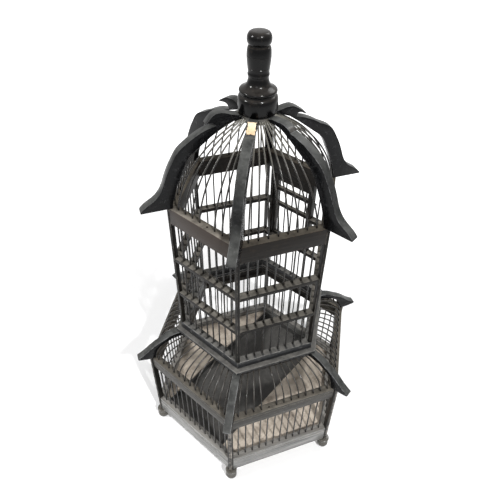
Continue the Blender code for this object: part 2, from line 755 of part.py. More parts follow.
def jamb_centres():
    """Distances of the two jambs along the door's face. The first one carries the hinges."""
    pitch = UPPER_ROD_CORNER_RADIUS / UPPER_ROD_DIVISIONS
    start = (UPPER_RADIUS - UPPER_ROD_CORNER_RADIUS) / 2
    return [start + pitch * index for index in DOOR_RODS]


def doorway():
    """The clear opening along the door's face."""
    hinge, latch = jamb_centres()
    return hinge + JAMB_WIDTH / 2, latch - JAMB_WIDTH / 2


def hinge_axis():
    """The hinge line: its distance along the door's face, and how far it stands out."""
    start = doorway()[0]
    return start + DOOR_HINGE_CLEARANCE / 2, HINGE_STAND_OFF - JAMB_SETBACK


def upright_pin(face, along, out, radius, heights, sides):
    """A round pin beside the door's face, standing upright."""
    foot = on_face(face, UPPER_RADIUS, along, -out, 0.0)
    return turned([(radius, heights[0]), (radius, heights[1])], sides, foot)


def fit_doorway(grille):
    """Cuts the doorway, then adds its jambs, header, hinge pins and the turn button's screw."""
    header = DOOR_TOP + DOOR_END_CLEARANCE
    start, end = doorway()
    opening = face_block(
        DOOR_FACE, UPPER_RADIUS,
        (start - JAMB_WIDTH / 4, end + JAMB_WIDTH / 4), (-OVERRUN, MID_RAIL_DEPTH + OVERRUN),
        (door_sill() + OVERRUN, UPPER_RAIL_BASE),
    )
    cut(grille, helper("doorway_cut", opening))
    depths = (JAMB_SETBACK, MID_RAIL_DEPTH - JAMB_SETBACK)
    heights = (door_sill() - MID_RAIL_HEIGHT / 2, UPPER_RAIL_BASE - GAP)
    for side, middle in zip(("hinge", "latch"), jamb_centres()):
        alongs = (middle - JAMB_WIDTH / 2, middle + JAMB_WIDTH / 2)
        jamb = face_block(DOOR_FACE, UPPER_RADIUS, alongs, depths, heights)
        join(grille, helper(side + "_jamb", jamb))
    lintel_depths = (depths[0] + MID_RAIL_SETBACK, depths[1] - MID_RAIL_SETBACK)
    lintel = face_block(
        DOOR_FACE, UPPER_RADIUS,
        (start - JAMB_WIDTH / 2, end + JAMB_WIDTH / 2), lintel_depths, (header, UPPER_RAIL_BASE - 2 * GAP),
    )
    join(grille, helper("door_lintel", lintel))
    along, out = hinge_axis()
    for number, height in enumerate(hinge_heights()):
        name = "hinge_pin_" + str(number)
        knuckle_heights = (height - HINGE_LENGTH / 2 - GAP, height - GAP)
        arm = face_block(
            DOOR_FACE, UPPER_RADIUS,
            (start - JAMB_WIDTH / 2, start - GAP),
            (JAMB_SETBACK - HINGE_PLATE, JAMB_SETBACK + HINGE_PLATE / 4),
            (knuckle_heights[0] + HINGE_PLATE / 2, knuckle_heights[1] - HINGE_PLATE / 2),
        )
        join(grille, helper(name + "_arm", arm))
        knuckle = upright_pin(DOOR_FACE, along, out, HINGE_BARREL_RADIUS - GAP, knuckle_heights, HINGE_SIDES)
        join(grille, helper(name + "_knuckle", knuckle))
        pin_heights = (knuckle_heights[0] + GAP, height + HINGE_LENGTH + HINGE_PLATE)
        pin = upright_pin(DOOR_FACE, along, out, HINGE_PIN_RADIUS, pin_heights, HINGE_SIDES)
        join(grille, helper(name, pin))
    join(grille, helper("button_screw", button_screw()))


def button_centre(depth):
    return on_face(DOOR_FACE, UPPER_RADIUS, jamb_centres()[1], depth, mid_rail_heights()[1][0] - BUTTON_DROP)


def screw_section(depth, radius):
    run, out = face_axes(DOOR_FACE)
    return circle(button_centre(depth), radius, BUTTON_SIDES, run, Vector((0, 0, 1)))


def button_depths():
    """The turn button's inner and outer faces, as depths behind the cage's face."""
    inner = JAMB_SETBACK - GAP
    return inner, inner - BUTTON_THICKNESS


def button_screw():
    """The screw that the turn button turns on. Its head keeps the button on."""
    outer = button_depths()[1]
    return loft([
        screw_section(JAMB_SETBACK + JAMB_WIDTH / 2, BUTTON_PIN_RADIUS),
        screw_section(outer - GAP, BUTTON_PIN_RADIUS),
        screw_section(outer - GAP, BUTTON_HEAD_RADIUS),
        screw_section(outer - GAP - BUTTON_HEAD_HEIGHT / 2, BUTTON_HEAD_RADIUS),
        screw_section(outer - GAP - BUTTON_HEAD_HEIGHT, BUTTON_HEAD_RADIUS - BUTTON_HEAD_HEIGHT / 2),
    ])


def make_button():
    """A wooden turn button, upright at rest, clear of the door."""
    run, out = face_axes(DOOR_FACE)
    inner, outer = button_depths()
    rings = []
    for depth in (inner, outer):
        middle = button_centre(depth)
        ring = []
        for end in (1, -1):
            for step in range(BUTTON_SIDES // 2 + 1):
                angle = math.pi * step / (BUTTON_SIDES // 2)
                swing = end * (BUTTON_WIDTH / 2) * math.cos(angle)
                reach = end * ((BUTTON_LENGTH - BUTTON_WIDTH) / 2 + (BUTTON_WIDTH / 2) * math.sin(angle))
                ring.append(middle + run * swing + Vector((0, 0, reach)))
        rings.append(ring)
    button = place("door_button", loft(rings), black_paint("door_button"))
    bore_radius = BUTTON_PIN_RADIUS + HINGE_PIN_CLEARANCE
    bore = loft([screw_section(inner + OVERRUN, bore_radius), screw_section(outer - OVERRUN, bore_radius)])
    cut(button, helper("button_bore", bore))
    hang_on("button_turn", button_centre(inner), (button,))


def make_door():
    """The door leaf: a frame with two cross bars, a deep top board, five rods and two hinge barrels."""
    start, end = doorway()
    start += DOOR_HINGE_CLEARANCE
    end -= DOOR_SIDE_CLEARANCE
    base = door_sill() + DOOR_END_CLEARANCE
    depths = (JAMB_SETBACK, JAMB_SETBACK + DOOR_THICKNESS)
    bar_depths = (depths[0] + MID_RAIL_SETBACK, depths[1] - MID_RAIL_SETBACK)
    rods = bmesh.new()
    pitch = UPPER_ROD_CORNER_RADIUS / UPPER_ROD_DIVISIONS
    for index in range(DOOR_RODS[0] + 1, DOOR_RODS[1]):
        along = jamb_centres()[0] + pitch * (index - DOOR_RODS[0])
        middle = sum(depths) / 2
        path = [on_face(DOOR_FACE, UPPER_RADIUS, along, middle, height)
                for height in (base + DOOR_BOTTOM_BAR / 2, DOOR_TOP - DOOR_TOP_BOARD / 2)]
        add_tube(rods, path, ROD_RADIUS, ROD_SIDES)
    leaf = place("door_leaf", rods, black_paint("door_leaf"))
    bars = (
        ("bottom_bar", base, base + DOOR_BOTTOM_BAR),
        ("middle_bar", *mid_rail_heights()[1]),
        ("upper_bar", DOOR_UPPER_BAR_TOP - MID_RAIL_HEIGHT, DOOR_UPPER_BAR_TOP),
        ("top_board", DOOR_TOP - DOOR_TOP_BOARD, DOOR_TOP),
    )
    inset = DOOR_STILE / 2
    for name, low, high in bars:
        bar = face_block(DOOR_FACE, UPPER_RADIUS, (start + inset, end - inset), bar_depths, (low, high))
        join(leaf, helper("door_" + name, bar))
    for name, alongs in (("hinge", (start, start + DOOR_STILE)), ("latch", (end - DOOR_STILE, end))):
        heights = (base - GAP, DOOR_TOP + GAP)
        stile = face_block(DOOR_FACE, UPPER_RADIUS, alongs, depths, heights)
        join(leaf, helper("door_stile_" + name, stile))
    along, out = hinge_axis()
    for number, height in enumerate(hinge_heights()):
        heights = (height, height + HINGE_LENGTH)
        plate = face_block(
            DOOR_FACE, UPPER_RADIUS, (start + GAP, start + HINGE_PLATE_LENGTH),
            (JAMB_SETBACK - HINGE_PLATE, JAMB_SETBACK + HINGE_PLATE / 4),
            (heights[0] + GAP, heights[1] - GAP),
        )
        join(leaf, helper("hinge_plate_" + str(number), plate))
        barrel = upright_pin(DOOR_FACE, along, out, HINGE_BARREL_RADIUS, heights, HINGE_SIDES)
        join(leaf, helper("hinge_barrel_" + str(number), barrel))
        bore_radius = HINGE_PIN_RADIUS + HINGE_PIN_CLEARANCE
        bore_heights = (heights[0] - OVERRUN, heights[1] + OVERRUN)
        bore = upright_pin(DOOR_FACE, along, out, bore_radius, bore_heights, HINGE_SIDES)
        cut(leaf, helper("hinge_bore_" + str(number), bore))
    hang_on("door_hinge", on_face(DOOR_FACE, UPPER_RADIUS, along, -out, base), (leaf,))


def dome_path(face, index):
    """A dome wire's path in its own upright plane through the cage's axis, from its seat to the hub."""
    foot = rod_place(face, UPPER_ROD_CORNER_RADIUS, UPPER_ROD_DIVISIONS, index, 0.0)
    end_height = FINIAL_BASE - GAP - HUB_HEIGHT / 2
    rise = end_height - UPPER_RAIL_TOP
    path = [foot + Vector((0, 0, UPPER_RAIL_TOP - ROD_SEAT)), foot + Vector((0, 0, UPPER_RAIL_TOP))]
    for radius_share, height_share in DOME_CURVE_SHARES:
        path.append(foot * radius_share + Vector((0, 0, UPPER_RAIL_TOP + rise * height_share)))
    path.append(foot.normalized() * (HUB_RADIUS + GAP) + Vector((0, 0, end_height)))
    return path


def make_dome_faces():
    """Each face of the dome: the upper top rail with the bent wires that stand in it."""
    for face, name in enumerate(FACE_NAMES):
        rings = [rail_plan(face, UPPER_RADIUS, UPPER_RAIL_DEPTH, UPPER_POST_HALF_WIDTH, 0.0, height)
                 for height in (UPPER_RAIL_BASE, UPPER_RAIL_TOP)]
        rail = place("dome_face_" + name, loft(rings), worn_paint("dome_face_" + name))
        wires = bmesh.new()
        for index in range(1, UPPER_ROD_DIVISIONS):
            if (face, index) != MISSING_DOME_WIRE:
                path = dome_path(face, index)
                inwards = -Vector((path[-1].x, path[-1].y, 0)).normalized()
                add_tube(wires, path, WIRE_RADIUS, ROD_SIDES, inwards)
        join(rail, helper("dome_wires_" + name, wires))
        if face == MISSING_DOME_WIRE[0]:
            foot = rod_place(face, UPPER_ROD_CORNER_RADIUS, UPPER_ROD_DIVISIONS, MISSING_DOME_WIRE[1], 0.0)
            cut(rail, spare_hole("upper_spare_hole", foot, UPPER_RAIL_TOP))


def make_hub():
    """The turned disc that gathers the wires under the finial, with a hole for the finial's screw."""
    top = FINIAL_BASE - GAP
    outline = [(HUB_RADIUS, top - HUB_HEIGHT), (HUB_RADIUS, top)]
    hub = place("crown_hub", turned(outline, HUB_SIDES, Vector()), black_paint("crown_hub"))
    hole = [(HUB_SCREW_BORE, top - HUB_HEIGHT - OVERRUN), (HUB_SCREW_BORE, top + OVERRUN)]
    cut(hub, helper("hub_screw_hole", turned(hole, SPARE_HOLE_SIDES, Vector())))


def make_finial():
    """The turned finial: drum, collar, neck, barrel and knob."""
    outline = []
    for shares in (DRUM_SHARES, COLLAR_SHARES, NECK_SHARES, BARREL_SHARES, KNOB_SHARES):
        for height_share, radius_share in shares:
            outline.append((FINIAL_RADIUS * radius_share, FINIAL_BASE + FINIAL_HEIGHT * height_share))
    outline.append((outline[-1][0] / 4, FINIAL_BASE + FINIAL_HEIGHT))
    place("finial", turned(outline, FINIAL_SIDES, Vector()), black_paint("finial"), smooth=True)


def upper_rib_outline(index):
    """From the heel up the inner edge to the hub, then along the leaf and the outer edge to the tip.

    A tongue goes in under the drum, to the hub. On two ribs the leaf has snapped off.
    """
    base = UPPER_RAIL_TOP + GAP
    root = FINIAL_RADIUS + GAP
    tongue_top = FINIAL_BASE - GAP
    tongue_end = HUB_RADIUS + GAP

    def at(radius_share, height_share):
        return radius_share * UPPER_RIB_REACH, base + UPPER_RIB_RISE * height_share

    inner = smooth_curve([at(*shares) for shares in UPPER_RIB_INNER_SHARES], 2)
    low, high = (base + UPPER_RIB_RISE * share for share in UPPER_RIB_ROOT_SHARES)
    inner += [(root, low), (tongue_end, tongue_top - UPPER_RIB_TONGUE_HEIGHT), (tongue_end, tongue_top)]
    inner.append((root, tongue_top))
    if index in BROKEN_LEAF_SHARES:
        crown = [(root, high)] + [at(*shares) for shares in BROKEN_LEAF_SHARES[index]]
    else:
        crown = [(root, high)] + smooth_curve([at(*shares) for shares in LEAF_SHARES], 2)
        crown += [at(*LEAF_TIP_SHARES)] + [at(*shares) for shares in LEAF_UNDER_SHARES]
    outer = smooth_curve([at(*shares) for shares in UPPER_RIB_OUTER_SHARES], 3)
    tip = [at(1.0, UPPER_RIB_TIP_SHARE), at(1.0, 0.0)]
    return inner + crown + outer + tip


def make_upper_ribs():
    for index, name in enumerate(CORNER_NAMES):
        board = upright_board(upper_rib_outline(index), index, UPPER_RIB_THICKNESS)
        place("upper_rib_" + name, board, black_paint("upper_rib_" + name))


clear_scene()
make_feet()
make_bottom_rail()
make_floor()
make_tray()
make_lower_posts()
make_roof_faces()
make_lower_ribs()
make_neck()
make_upper_posts()
make_upper_grilles()
make_door()
make_button()
make_dome_faces()
make_hub()
make_finial()
make_upper_ribs()
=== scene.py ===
"""Dresses the six-sided wooden birdcage: its boards, rods, wires, turnings, paint, dust and wear."""

import math
import random

import bmesh
import bpy
from mathutils import Matrix, Vector


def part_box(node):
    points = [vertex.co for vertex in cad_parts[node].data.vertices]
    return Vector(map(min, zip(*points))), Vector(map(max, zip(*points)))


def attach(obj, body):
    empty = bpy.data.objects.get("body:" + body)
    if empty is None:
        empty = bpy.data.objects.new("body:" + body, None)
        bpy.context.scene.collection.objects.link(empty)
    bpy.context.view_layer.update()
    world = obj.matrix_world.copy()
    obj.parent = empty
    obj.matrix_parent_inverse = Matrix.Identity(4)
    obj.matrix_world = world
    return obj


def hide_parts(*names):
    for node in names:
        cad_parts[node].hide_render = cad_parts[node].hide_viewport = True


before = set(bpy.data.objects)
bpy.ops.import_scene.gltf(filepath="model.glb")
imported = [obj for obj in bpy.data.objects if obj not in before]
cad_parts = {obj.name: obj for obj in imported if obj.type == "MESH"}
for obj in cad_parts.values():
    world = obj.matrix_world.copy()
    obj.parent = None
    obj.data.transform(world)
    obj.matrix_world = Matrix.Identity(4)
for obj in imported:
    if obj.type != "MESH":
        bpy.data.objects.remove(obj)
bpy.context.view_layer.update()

MM = 0.001
COS30 = math.cos(math.radians(30))
TAN30 = math.tan(math.radians(30))
CORNERS = ("front", "front_right", "back_right", "back", "back_left", "front_left")
FACES = ("front_right", "right", "back_right", "back_left", "left", "front_left")
chance = random.Random(11)

# Sizes of the cage, read from the frame's boxes
FINIAL_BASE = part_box("finial")[0].z
DOME_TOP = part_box("crown_hub")[1].z
HUB_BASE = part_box("crown_hub")[0].z
HUB_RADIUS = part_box("crown_hub")[1].x
TOP_RAIL_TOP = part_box("upper_post_front")[1].z
BASE_RAIL_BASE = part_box("upper_base_rail")[0].z
BASE_RAIL_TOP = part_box("upper_base_rail")[1].z
COLLAR_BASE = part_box("collar_board")[0].z
COLLAR_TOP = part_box("collar_board")[1].z
COLLAR_RADIUS = -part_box("collar_board")[0].y
UPPER_RADIUS = -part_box("upper_base_rail")[0].y
RING_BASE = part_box("roof_ring")[0].z
LOWER_POST_RADIUS = -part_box("lower_post_front")[0].y
BOTTOM_RAIL_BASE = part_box("lower_post_front")[0].z
LOWER_RAIL_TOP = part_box("lower_post_front")[1].z
BOTTOM_RAIL_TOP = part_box("bottom_rail")[1].z
FLOOR_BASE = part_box("floor_board")[0].z
FLOOR_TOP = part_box("floor_board")[1].z
TRAY_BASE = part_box("tray_pan")[0].z
TRAY_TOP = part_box("tray_pan")[1].z

# Sizes of single boards and rods
SEAM = 0.3 * MM
TOP_RAIL_BASE = TOP_RAIL_TOP - 31.1 * MM
TOP_RAIL_DEPTH = 15 * MM
UPPER_POST_HALF = 5.0 * MM
LOWER_POST_HALF = 6.8 * MM
LOWER_RADIUS = LOWER_POST_RADIUS - 2 * MM
LOWER_RAIL_RADIUS = LOWER_POST_RADIUS - 3 * MM
LOWER_RAIL_BASE = LOWER_RAIL_TOP - 33 * MM
RAIL_DEPTH = 14.5 * MM
MID_RAIL_HEIGHT = 8 * MM
MID_RAIL_DEPTH = 14 * MM
MID_RAIL_TOPS = (BASE_RAIL_TOP + 88.0 * MM, BASE_RAIL_TOP + 173.5 * MM)
UPPER_ROD_RADIUS = UPPER_RADIUS - 8.9 * MM
LOWER_ROD_RADIUS = LOWER_RADIUS - 8.3 * MM
UPPER_ROD_COUNT = 9
LOWER_ROD_COUNT = 14
ROD_PITCH = UPPER_ROD_RADIUS / UPPER_ROD_COUNT
ROD = 1.4 * MM
WIRE = 1.3 * MM
ROD_HOLE = 1.6 * MM
RIB_THICKNESS = 14.6 * MM
UPPER_OUT = UPPER_RADIUS * COS30


# Selecting and handling


def let_go():
    """Object mode, with nothing selected."""
    if bpy.context.mode != "OBJECT":
        bpy.ops.object.mode_set(mode="OBJECT")
    bpy.ops.object.select_all(action="DESELECT")


def take(piece):
    """Object mode, with just this piece selected."""
    let_go()
    piece.select_set(True)
    bpy.context.view_layer.objects.active = piece
    return piece


def edit(piece):
    """Edit mode, with all of this piece selected."""
    take(piece)
    bpy.ops.object.mode_set(mode="EDIT")
    bpy.ops.mesh.select_mode(type="VERT")
    bpy.ops.mesh.select_all(action="SELECT")


def settle(piece):
    """Puts a piece's place, turn and scale into its mesh."""
    take(piece)
    bpy.ops.object.transform_apply(location=True, rotation=True, scale=True)
    return piece


def copy_of(piece):
    take(piece)
    bpy.ops.object.duplicate()
    return bpy.context.object


def discard(*masters):
    for master in masters:
        bpy.data.objects.remove(master)


def pick_vertices(test):
    """In edit mode, selects just the vertices whose place passes the test."""
    piece = bpy.context.object
    bpy.ops.mesh.select_all(action="DESELECT")
    mesh_data = bmesh.from_edit_mesh(piece.data)
    for vertex in mesh_data.verts:
        vertex.select_set(bool(test(vertex.co)))
    mesh_data.select_flush(True)
    bmesh.update_edit_mesh(piece.data)


def pick_top():
    """In edit mode, selects just the faces that look up."""
    piece = bpy.context.object
    bpy.ops.mesh.select_all(action="DESELECT")
    bpy.ops.mesh.select_mode(type="FACE")
    mesh_data = bmesh.from_edit_mesh(piece.data)
    for face in mesh_data.faces:
        face.select_set(face.normal.z > 0.9)
    bmesh.update_edit_mesh(piece.data)


def extrude(way):
    bpy.ops.mesh.extrude_region_move(TRANSFORM_OT_translate={"value": way})


def draw(points, closed=True):
    """Draws an outline from one vertex, extruded on from point to point. Stays in edit mode."""
    let_go()
    bpy.ops.mesh.primitive_plane_add(size=MM, location=(0, 0, 0))
    edit(bpy.context.object)
    bpy.ops.mesh.merge(type="CENTER")
    points = [Vector(point) for point in points]
    bpy.ops.transform.translate(value=points[0])
    for before, after in zip(points, points[1:]):
        extrude(after - before)
    if closed:
        pick_vertices(lambda place: min((place - end).length for end in (points[0], points[-1])) < MM / 1000)
        bpy.ops.mesh.edge_face_add()
        bpy.ops.mesh.select_all(action="SELECT")
        bpy.ops.mesh.edge_face_add()
    return bpy.context.object


def close_up():
    """Merges doubles, turns the faces outwards and leaves edit mode."""
    bpy.ops.mesh.select_all(action="SELECT")
    bpy.ops.mesh.remove_doubles(threshold=MM / 200)
    bpy.ops.mesh.normals_make_consistent(inside=False)
    bpy.ops.object.mode_set(mode="OBJECT")
    return bpy.context.object


def block(lowest, highest):
    """A squared length of wood between two corners."""
    let_go()
    bpy.ops.mesh.primitive_cube_add(size=1, location=(Vector(lowest) + Vector(highest)) / 2)
    bpy.context.object.scale = Vector(highest) - Vector(lowest)
    return settle(bpy.context.object)


def apply_modifiers(piece):
    take(piece)
    for modifier in list(piece.modifiers):
        bpy.ops.object.modifier_apply(modifier=modifier.name)


def cut_with(piece, cutter, operation="DIFFERENCE"):
    """Cuts a piece with a cutter, which is used up."""
    cut = piece.modifiers.new("cut", "BOOLEAN")
    cut.operation = operation
    cut.solver = "EXACT"
    cut.object = cutter
    apply_modifiers(piece)
    discard(cutter)


def drill(rail, place):
    """The empty hole of a rod or wire that is missing, straight down from its place."""
    let_go()
    bpy.ops.mesh.primitive_cylinder_add(vertices=16, radius=ROD_HOLE, depth=16 * MM, location=place)
    cut_with(rail, settle(bpy.context.object))


def round_edges(piece, width, segments=2):
    """Rounds the board's edges, and marks the rounded strips, where the paint rubs off first."""
    marker = bpy.data.materials.new("marker")
    piece.data.materials.clear()
    piece.data.materials.append(marker)
    piece.data.materials.append(marker)
    bevel = piece.modifiers.new("round", "BEVEL")
    bevel.width = width
    bevel.segments = segments
    bevel.limit_method = "ANGLE"
    bevel.angle_limit = math.radians(35)
    bevel.material = 1
    apply_modifiers(piece)
    strips = [float(face.material_index == 1) for face in piece.data.polygons]
    piece.data.attributes.new("rub", "FLOAT", "FACE").data.foreach_set("value", strips)
    piece.data.polygons.foreach_set("material_index", [0] * len(strips))
    piece.data.materials.clear()
    bpy.data.materials.remove(marker)


def lay_grain(piece, along):
    """Keeps each point's place on its board, the way of the grain first, for the paint to follow."""
    order = {"x": (0, 1, 2), "y": (1, 0, 2), "z": (2, 0, 1)}[along]
    grain = piece.data.attributes.new("board", "FLOAT_VECTOR", "POINT")
    grain.data.foreach_set("vector", [vertex.co[axis] for vertex in piece.data.vertices for axis in order])


def mark_rods(piece):
    """Numbers the places of an upper rail's rods along it, for the dust between them and the painted shade
    next to each rod.
    """
    marks = piece.data.attributes.new("rod", "FLOAT", "POINT")
    middle = UPPER_ROD_COUNT / 2
    marks.data.foreach_set("value", [vertex.co.y / ROD_PITCH + middle for vertex in piece.data.vertices])


def shift_grain(piece):
    """Gives a copied board its own patch of the grain."""
    grain = piece.data.attributes.get("board")
    if grain is None:
        return
    shift = Vector((chance.uniform(0, 1), chance.uniform(0, 1), chance.uniform(0, 1)))
    for point in grain.data:
        point.vector = Vector(point.vector) + shift


def smooth(piece, angle=35):
    take(piece)
    bpy.ops.object.shade_smooth_by_angle(angle=math.radians(angle))
    return piece


def finish_board(board, along="y", width=0.5 * MM, segments=2):
    round_edges(board, width, segments)
    lay_grain(board, along)
    return smooth(board)


def join(pieces):
    take(pieces[0])
    for piece in pieces:
        piece.select_set(True)
    bpy.ops.object.join()
    return bpy.context.object


def face_turn(face):
    return math.radians(60 * face - 60)


def corner_turn(corner):
    return math.radians(60 * corner - 90)


def dress(piece, name, paint, nodes, body="root"):
    """Names a finished piece, paints it and hands it to its body."""
    piece.name = name
    piece.data.name = name
    piece.data.materials.clear()
    piece.data.materials.append(paint)
    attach(piece, body)
    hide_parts(*nodes)
    return piece


def set_out(master, turn, name, paint, slot, nodes, body="root"):
    """Copies a board made on the +X side round the axis to its own side, and dresses the copy."""
    piece = copy_of(master)
    piece.rotation_euler.z = turn
    bpy.ops.object.transform_apply(location=False, rotation=True, scale=False)
    shift_grain(piece)
    return dress(piece, name, paint, nodes, body)


def set_on_corner(master, corner, name, paint, node_name):
    """Sets out a board made at the +X corner. The corner's own name ends the piece's and the node's."""
    name += CORNERS[corner]
    nodes = [node_name + CORNERS[corner]]
    return set_out(master, corner_turn(corner), name, paint, "black_paint", nodes)


def set_once(piece, face, *dressing):
    """Turns a board that is there only once to its face, and dresses it."""
    set_out(piece, face_turn(face), *dressing)
    discard(piece)


# Shader nodes


def linear(red, green, blue):
    """A colour as it is seen, from 0 to 255, as the shader wants it."""
    return tuple((value / 255) ** 2.2 for value in (red, green, blue)) + (1.0,)


def feed(tree, socket, value):
    """Links a socket to what feeds it, or sets its value. A colour of three is one as it is seen."""
    if isinstance(value, bpy.types.NodeSocket):
        tree.links.new(value, socket)
    elif socket.type == "RGBA" and len(value) == 3:
        socket.default_value = linear(*value)
    else:
        socket.default_value = value


def node(tree, kind, inputs=None, **settings):
    made = tree.nodes.new(kind)
    for key, value in settings.items():
        setattr(made, key, value)
    for key, value in (inputs or {}).items():
        feed(tree, made.inputs[key], value)
    return made


def calculate(tree, operation, first, second):
    return node(tree, "ShaderNodeMath", {0: first, 1: second}, operation=operation).outputs[0]


def times(tree, product, *others):
    for other in others:
        product = calculate(tree, "MULTIPLY", product, other)
    return product


def along_line(tree, vector, line):
    """How far a vector reaches along a line."""
    return node(tree, "ShaderNodeVectorMath", {0: vector, 1: line}, operation="DOT_PRODUCT").outputs["Value"]


def spread(tree, value, low, high, low_out=0.0, high_out=1.0):
    inputs = {"Value": value, "From Min": low, "From Max": high, "To Min": low_out, "To Max": high_out}
    return node(tree, "ShaderNodeMapRange", inputs).outputs["Result"]


def mix(tree, share, first, second):
    return node(tree, "ShaderNodeMix", {0: share, 6: first, 7: second}, data_type="RGBA").outputs[2]


def own_place(tree):
    return node(tree, "ShaderNodeTexCoord").outputs["Object"]


def normal_of(tree):
    return node(tree, "ShaderNodeNewGeometry").outputs["Normal"]


def part_of(tree, vector, axis):
    return node(tree, "ShaderNodeSeparateXYZ", {0: vector}).outputs[axis]


def stretch(tree, place, scale):
    return node(tree, "ShaderNodeMapping", {"Vector": place, "Scale": scale}).outputs["Vector"]


def noise(tree, place, scale, detail, **more):
    inputs = {"Vector": place, "Scale": scale, "Detail": detail, **more}
    return node(tree, "ShaderNodeTexNoise", inputs).outputs["Fac"]


def attribute(tree, name, output="Fac"):
    return node(tree, "ShaderNodeAttribute", attribute_name=name).outputs[output]


def start_group(name, outputs, inputs):
    """A node group. Its inputs are given as names and first values."""
    group = bpy.data.node_groups.new(name, "ShaderNodeTree")
    for label, value in inputs.items():
        socket = group.interface.new_socket(label, in_out="INPUT", socket_type="NodeSocketFloat")
        socket.default_value = value
    for label in outputs:
        group.interface.new_socket(label, in_out="OUTPUT", socket_type="NodeSocketFloat")
    return group, group.nodes.new("NodeGroupInput").outputs, group.nodes.new("NodeGroupOutput").inputs


def make_dust_and_rod_shade_group():
    """Dust lies on what faces up, thick in patches. On a numbered rail it is thinned next to each rod:
    painted shade.
    """
    group, given, made = start_group("dust_and_rod_shade", ["Mask"], {"Cover": 0.5, "Patch Scale": 60.0})
    top = spread(group, part_of(group, normal_of(group), "Z"), 0.25, 0.95)
    clumps = noise(group, own_place(group), given["Patch Scale"], 6.0, Roughness=0.65)
    patch = spread(group, clumps, 0.32, 0.62, 0.35, 1.0)
    number = attribute(group, "rod")
    # Painted shade: near each rod the dust is cut back, so the dark paint shows where the rod shades the
    # rail.
    off_rod = calculate(group, "PINGPONG", calculate(group, "PINGPONG", number, 1.0), 0.5)
    unnumbered = calculate(group, "LESS_THAN", number, 0.2)
    between = calculate(group, "MAXIMUM", spread(group, off_rod, 0.1, 0.19, 0.25, 1.0), unnumbered)
    feed(group, made["Mask"], times(group, top, patch, given["Cover"], between))
    return group


def make_rub_group():
    """Paint rubbed thin on the edges, in broken stretches."""
    group, given, made = start_group("rubbed_edges", ["Mask"], {"Amount": 0.5, "Patch Scale": 90.0})
    stretches = noise(group, own_place(group), given["Patch Scale"], 4.0, Roughness=0.7)
    edge = attribute(group, "rub")
    feed(group, made["Mask"], times(group, edge, spread(group, stretches, 0.42, 0.66), given["Amount"]))
    return group


def make_grain_group():
    """Long streaks of grain and brush marks along the board."""
    group, given, made = start_group("board_grain", ["Streak", "Height"], {"Scale": 1.0})
    board = attribute(group, "board", "Vector")
    long_place = stretch(group, board, (14.0, 260.0, 260.0))
    fine_place = stretch(group, board, (60.0, 900.0, 900.0))
    broad = noise(group, long_place, given["Scale"], 5.0, Roughness=0.6, Distortion=0.4)
    fine = noise(group, fine_place, given["Scale"], 3.0)
    feed(group, made["Streak"], spread(group, broad, 0.34, 0.66))
    feed(group, made["Height"], calculate(group, "ADD", broad, fine))
    return group


def make_scuff_group():
    """Small scuffs and finger marks, scattered."""
    group, given, made = start_group("scuffs", ["Mask"], {"Scale": 120.0, "Cover": 0.5})
    marks = noise(group, own_place(group), given["Scale"], 8.0, Roughness=0.75)
    feed(group, made["Mask"], times(group, spread(group, marks, 0.55, 0.75), given["Cover"]))
    return group


# DUST is the dust on tops, and with it the painted shade next to the rods.
DUST = make_dust_and_rod_shade_group()
RUB = make_rub_group()
GRAIN = make_grain_group()
SCUFF = make_scuff_group()


def use(tree, group, output="Mask", **values):
    made = node(tree, "ShaderNodeGroup", node_tree=group)
    for key, value in values.items():
        made.inputs[key.replace("_", " ")].default_value = value
    return made.outputs[output]


def start_material(name):
    """A new material, with its node tree and its shader."""
    material = bpy.data.materials.new(name)
    material.use_nodes = True
    return material, material.node_tree, material.node_tree.nodes["Principled BSDF"]


def finish_material(tree, shader, values, height=None, strength=0.0, depth=0.0):
    """Feeds the shader. Where a height is given, the surface rises and falls with it."""
    if height is not None:
        bump = node(tree, "ShaderNodeBump", {"Height": height, "Strength": strength, "Distance": depth})
        feed(tree, shader.inputs["Normal"], bump.outputs["Normal"])
    for key, value in values.items():
        feed(tree, shader.inputs[key], value)


# Paint and wood, in colours as they are seen
DUST_COLOUR = (150, 143, 132)
WORN_BROWN = (78, 63, 50)
WORN_GREY = (120, 116, 110)


def front_left_share(tree):
    """Two masks of the upper cage's front left side, for painted light: all of it, and only what faces that
    way.
    """
    outwards = (-0.5, -0.866, 0.0)
    place = own_place(tree)
    left = spread(tree, part_of(tree, place, "X"), 1 * MM, -1 * MM)
    side = times(tree, spread(tree, along_line(tree, place, outwards), 115 * MM, 128 * MM), left)
    return side, times(tree, side, spread(tree, along_line(tree, normal_of(tree), outwards), 0.8, 0.95))


def painted(name, paint, streak, worn, dust, roughness, dust_cover=0.5, rub=0.5, scuffs=0.3, grain=0.3,
            sheen=0.3, painted_light_front_left=None):
    """Old paint on wood: streaks, rubbed edges, scuffs, and dust on what faces up.

    painted_light_front_left is the paint's and the dust's colours on the front left side: painted light from
    the left.
    """
    material, tree, shader = start_material(name)
    grain_marks = use(tree, GRAIN, "Streak").node.outputs
    colour = mix(tree, times(tree, grain_marks["Streak"], 0.8), paint, streak)
    # Painted light: lighter paint and dust on the front left side, where the light falls from the left.
    if painted_light_front_left:
        side, face = front_left_share(tree)
        colour = mix(tree, face, colour, painted_light_front_left[0])
        dust = mix(tree, side, dust, painted_light_front_left[1])
    scuffed = use(tree, SCUFF, Cover=scuffs)
    dusty = use(tree, DUST, Cover=dust_cover)
    colour = mix(tree, use(tree, RUB, Amount=rub), mix(tree, scuffed, colour, worn), worn)
    finish_material(tree, shader, {
        "Base Color": mix(tree, dusty, colour, dust),
        "Roughness": spread(tree, calculate(tree, "ADD", scuffed, dusty), 0.0, 1.0, roughness, 0.85),
        "Specular IOR Level": sheen,
    }, grain_marks["Height"], grain, 0.3 * MM)
    return material


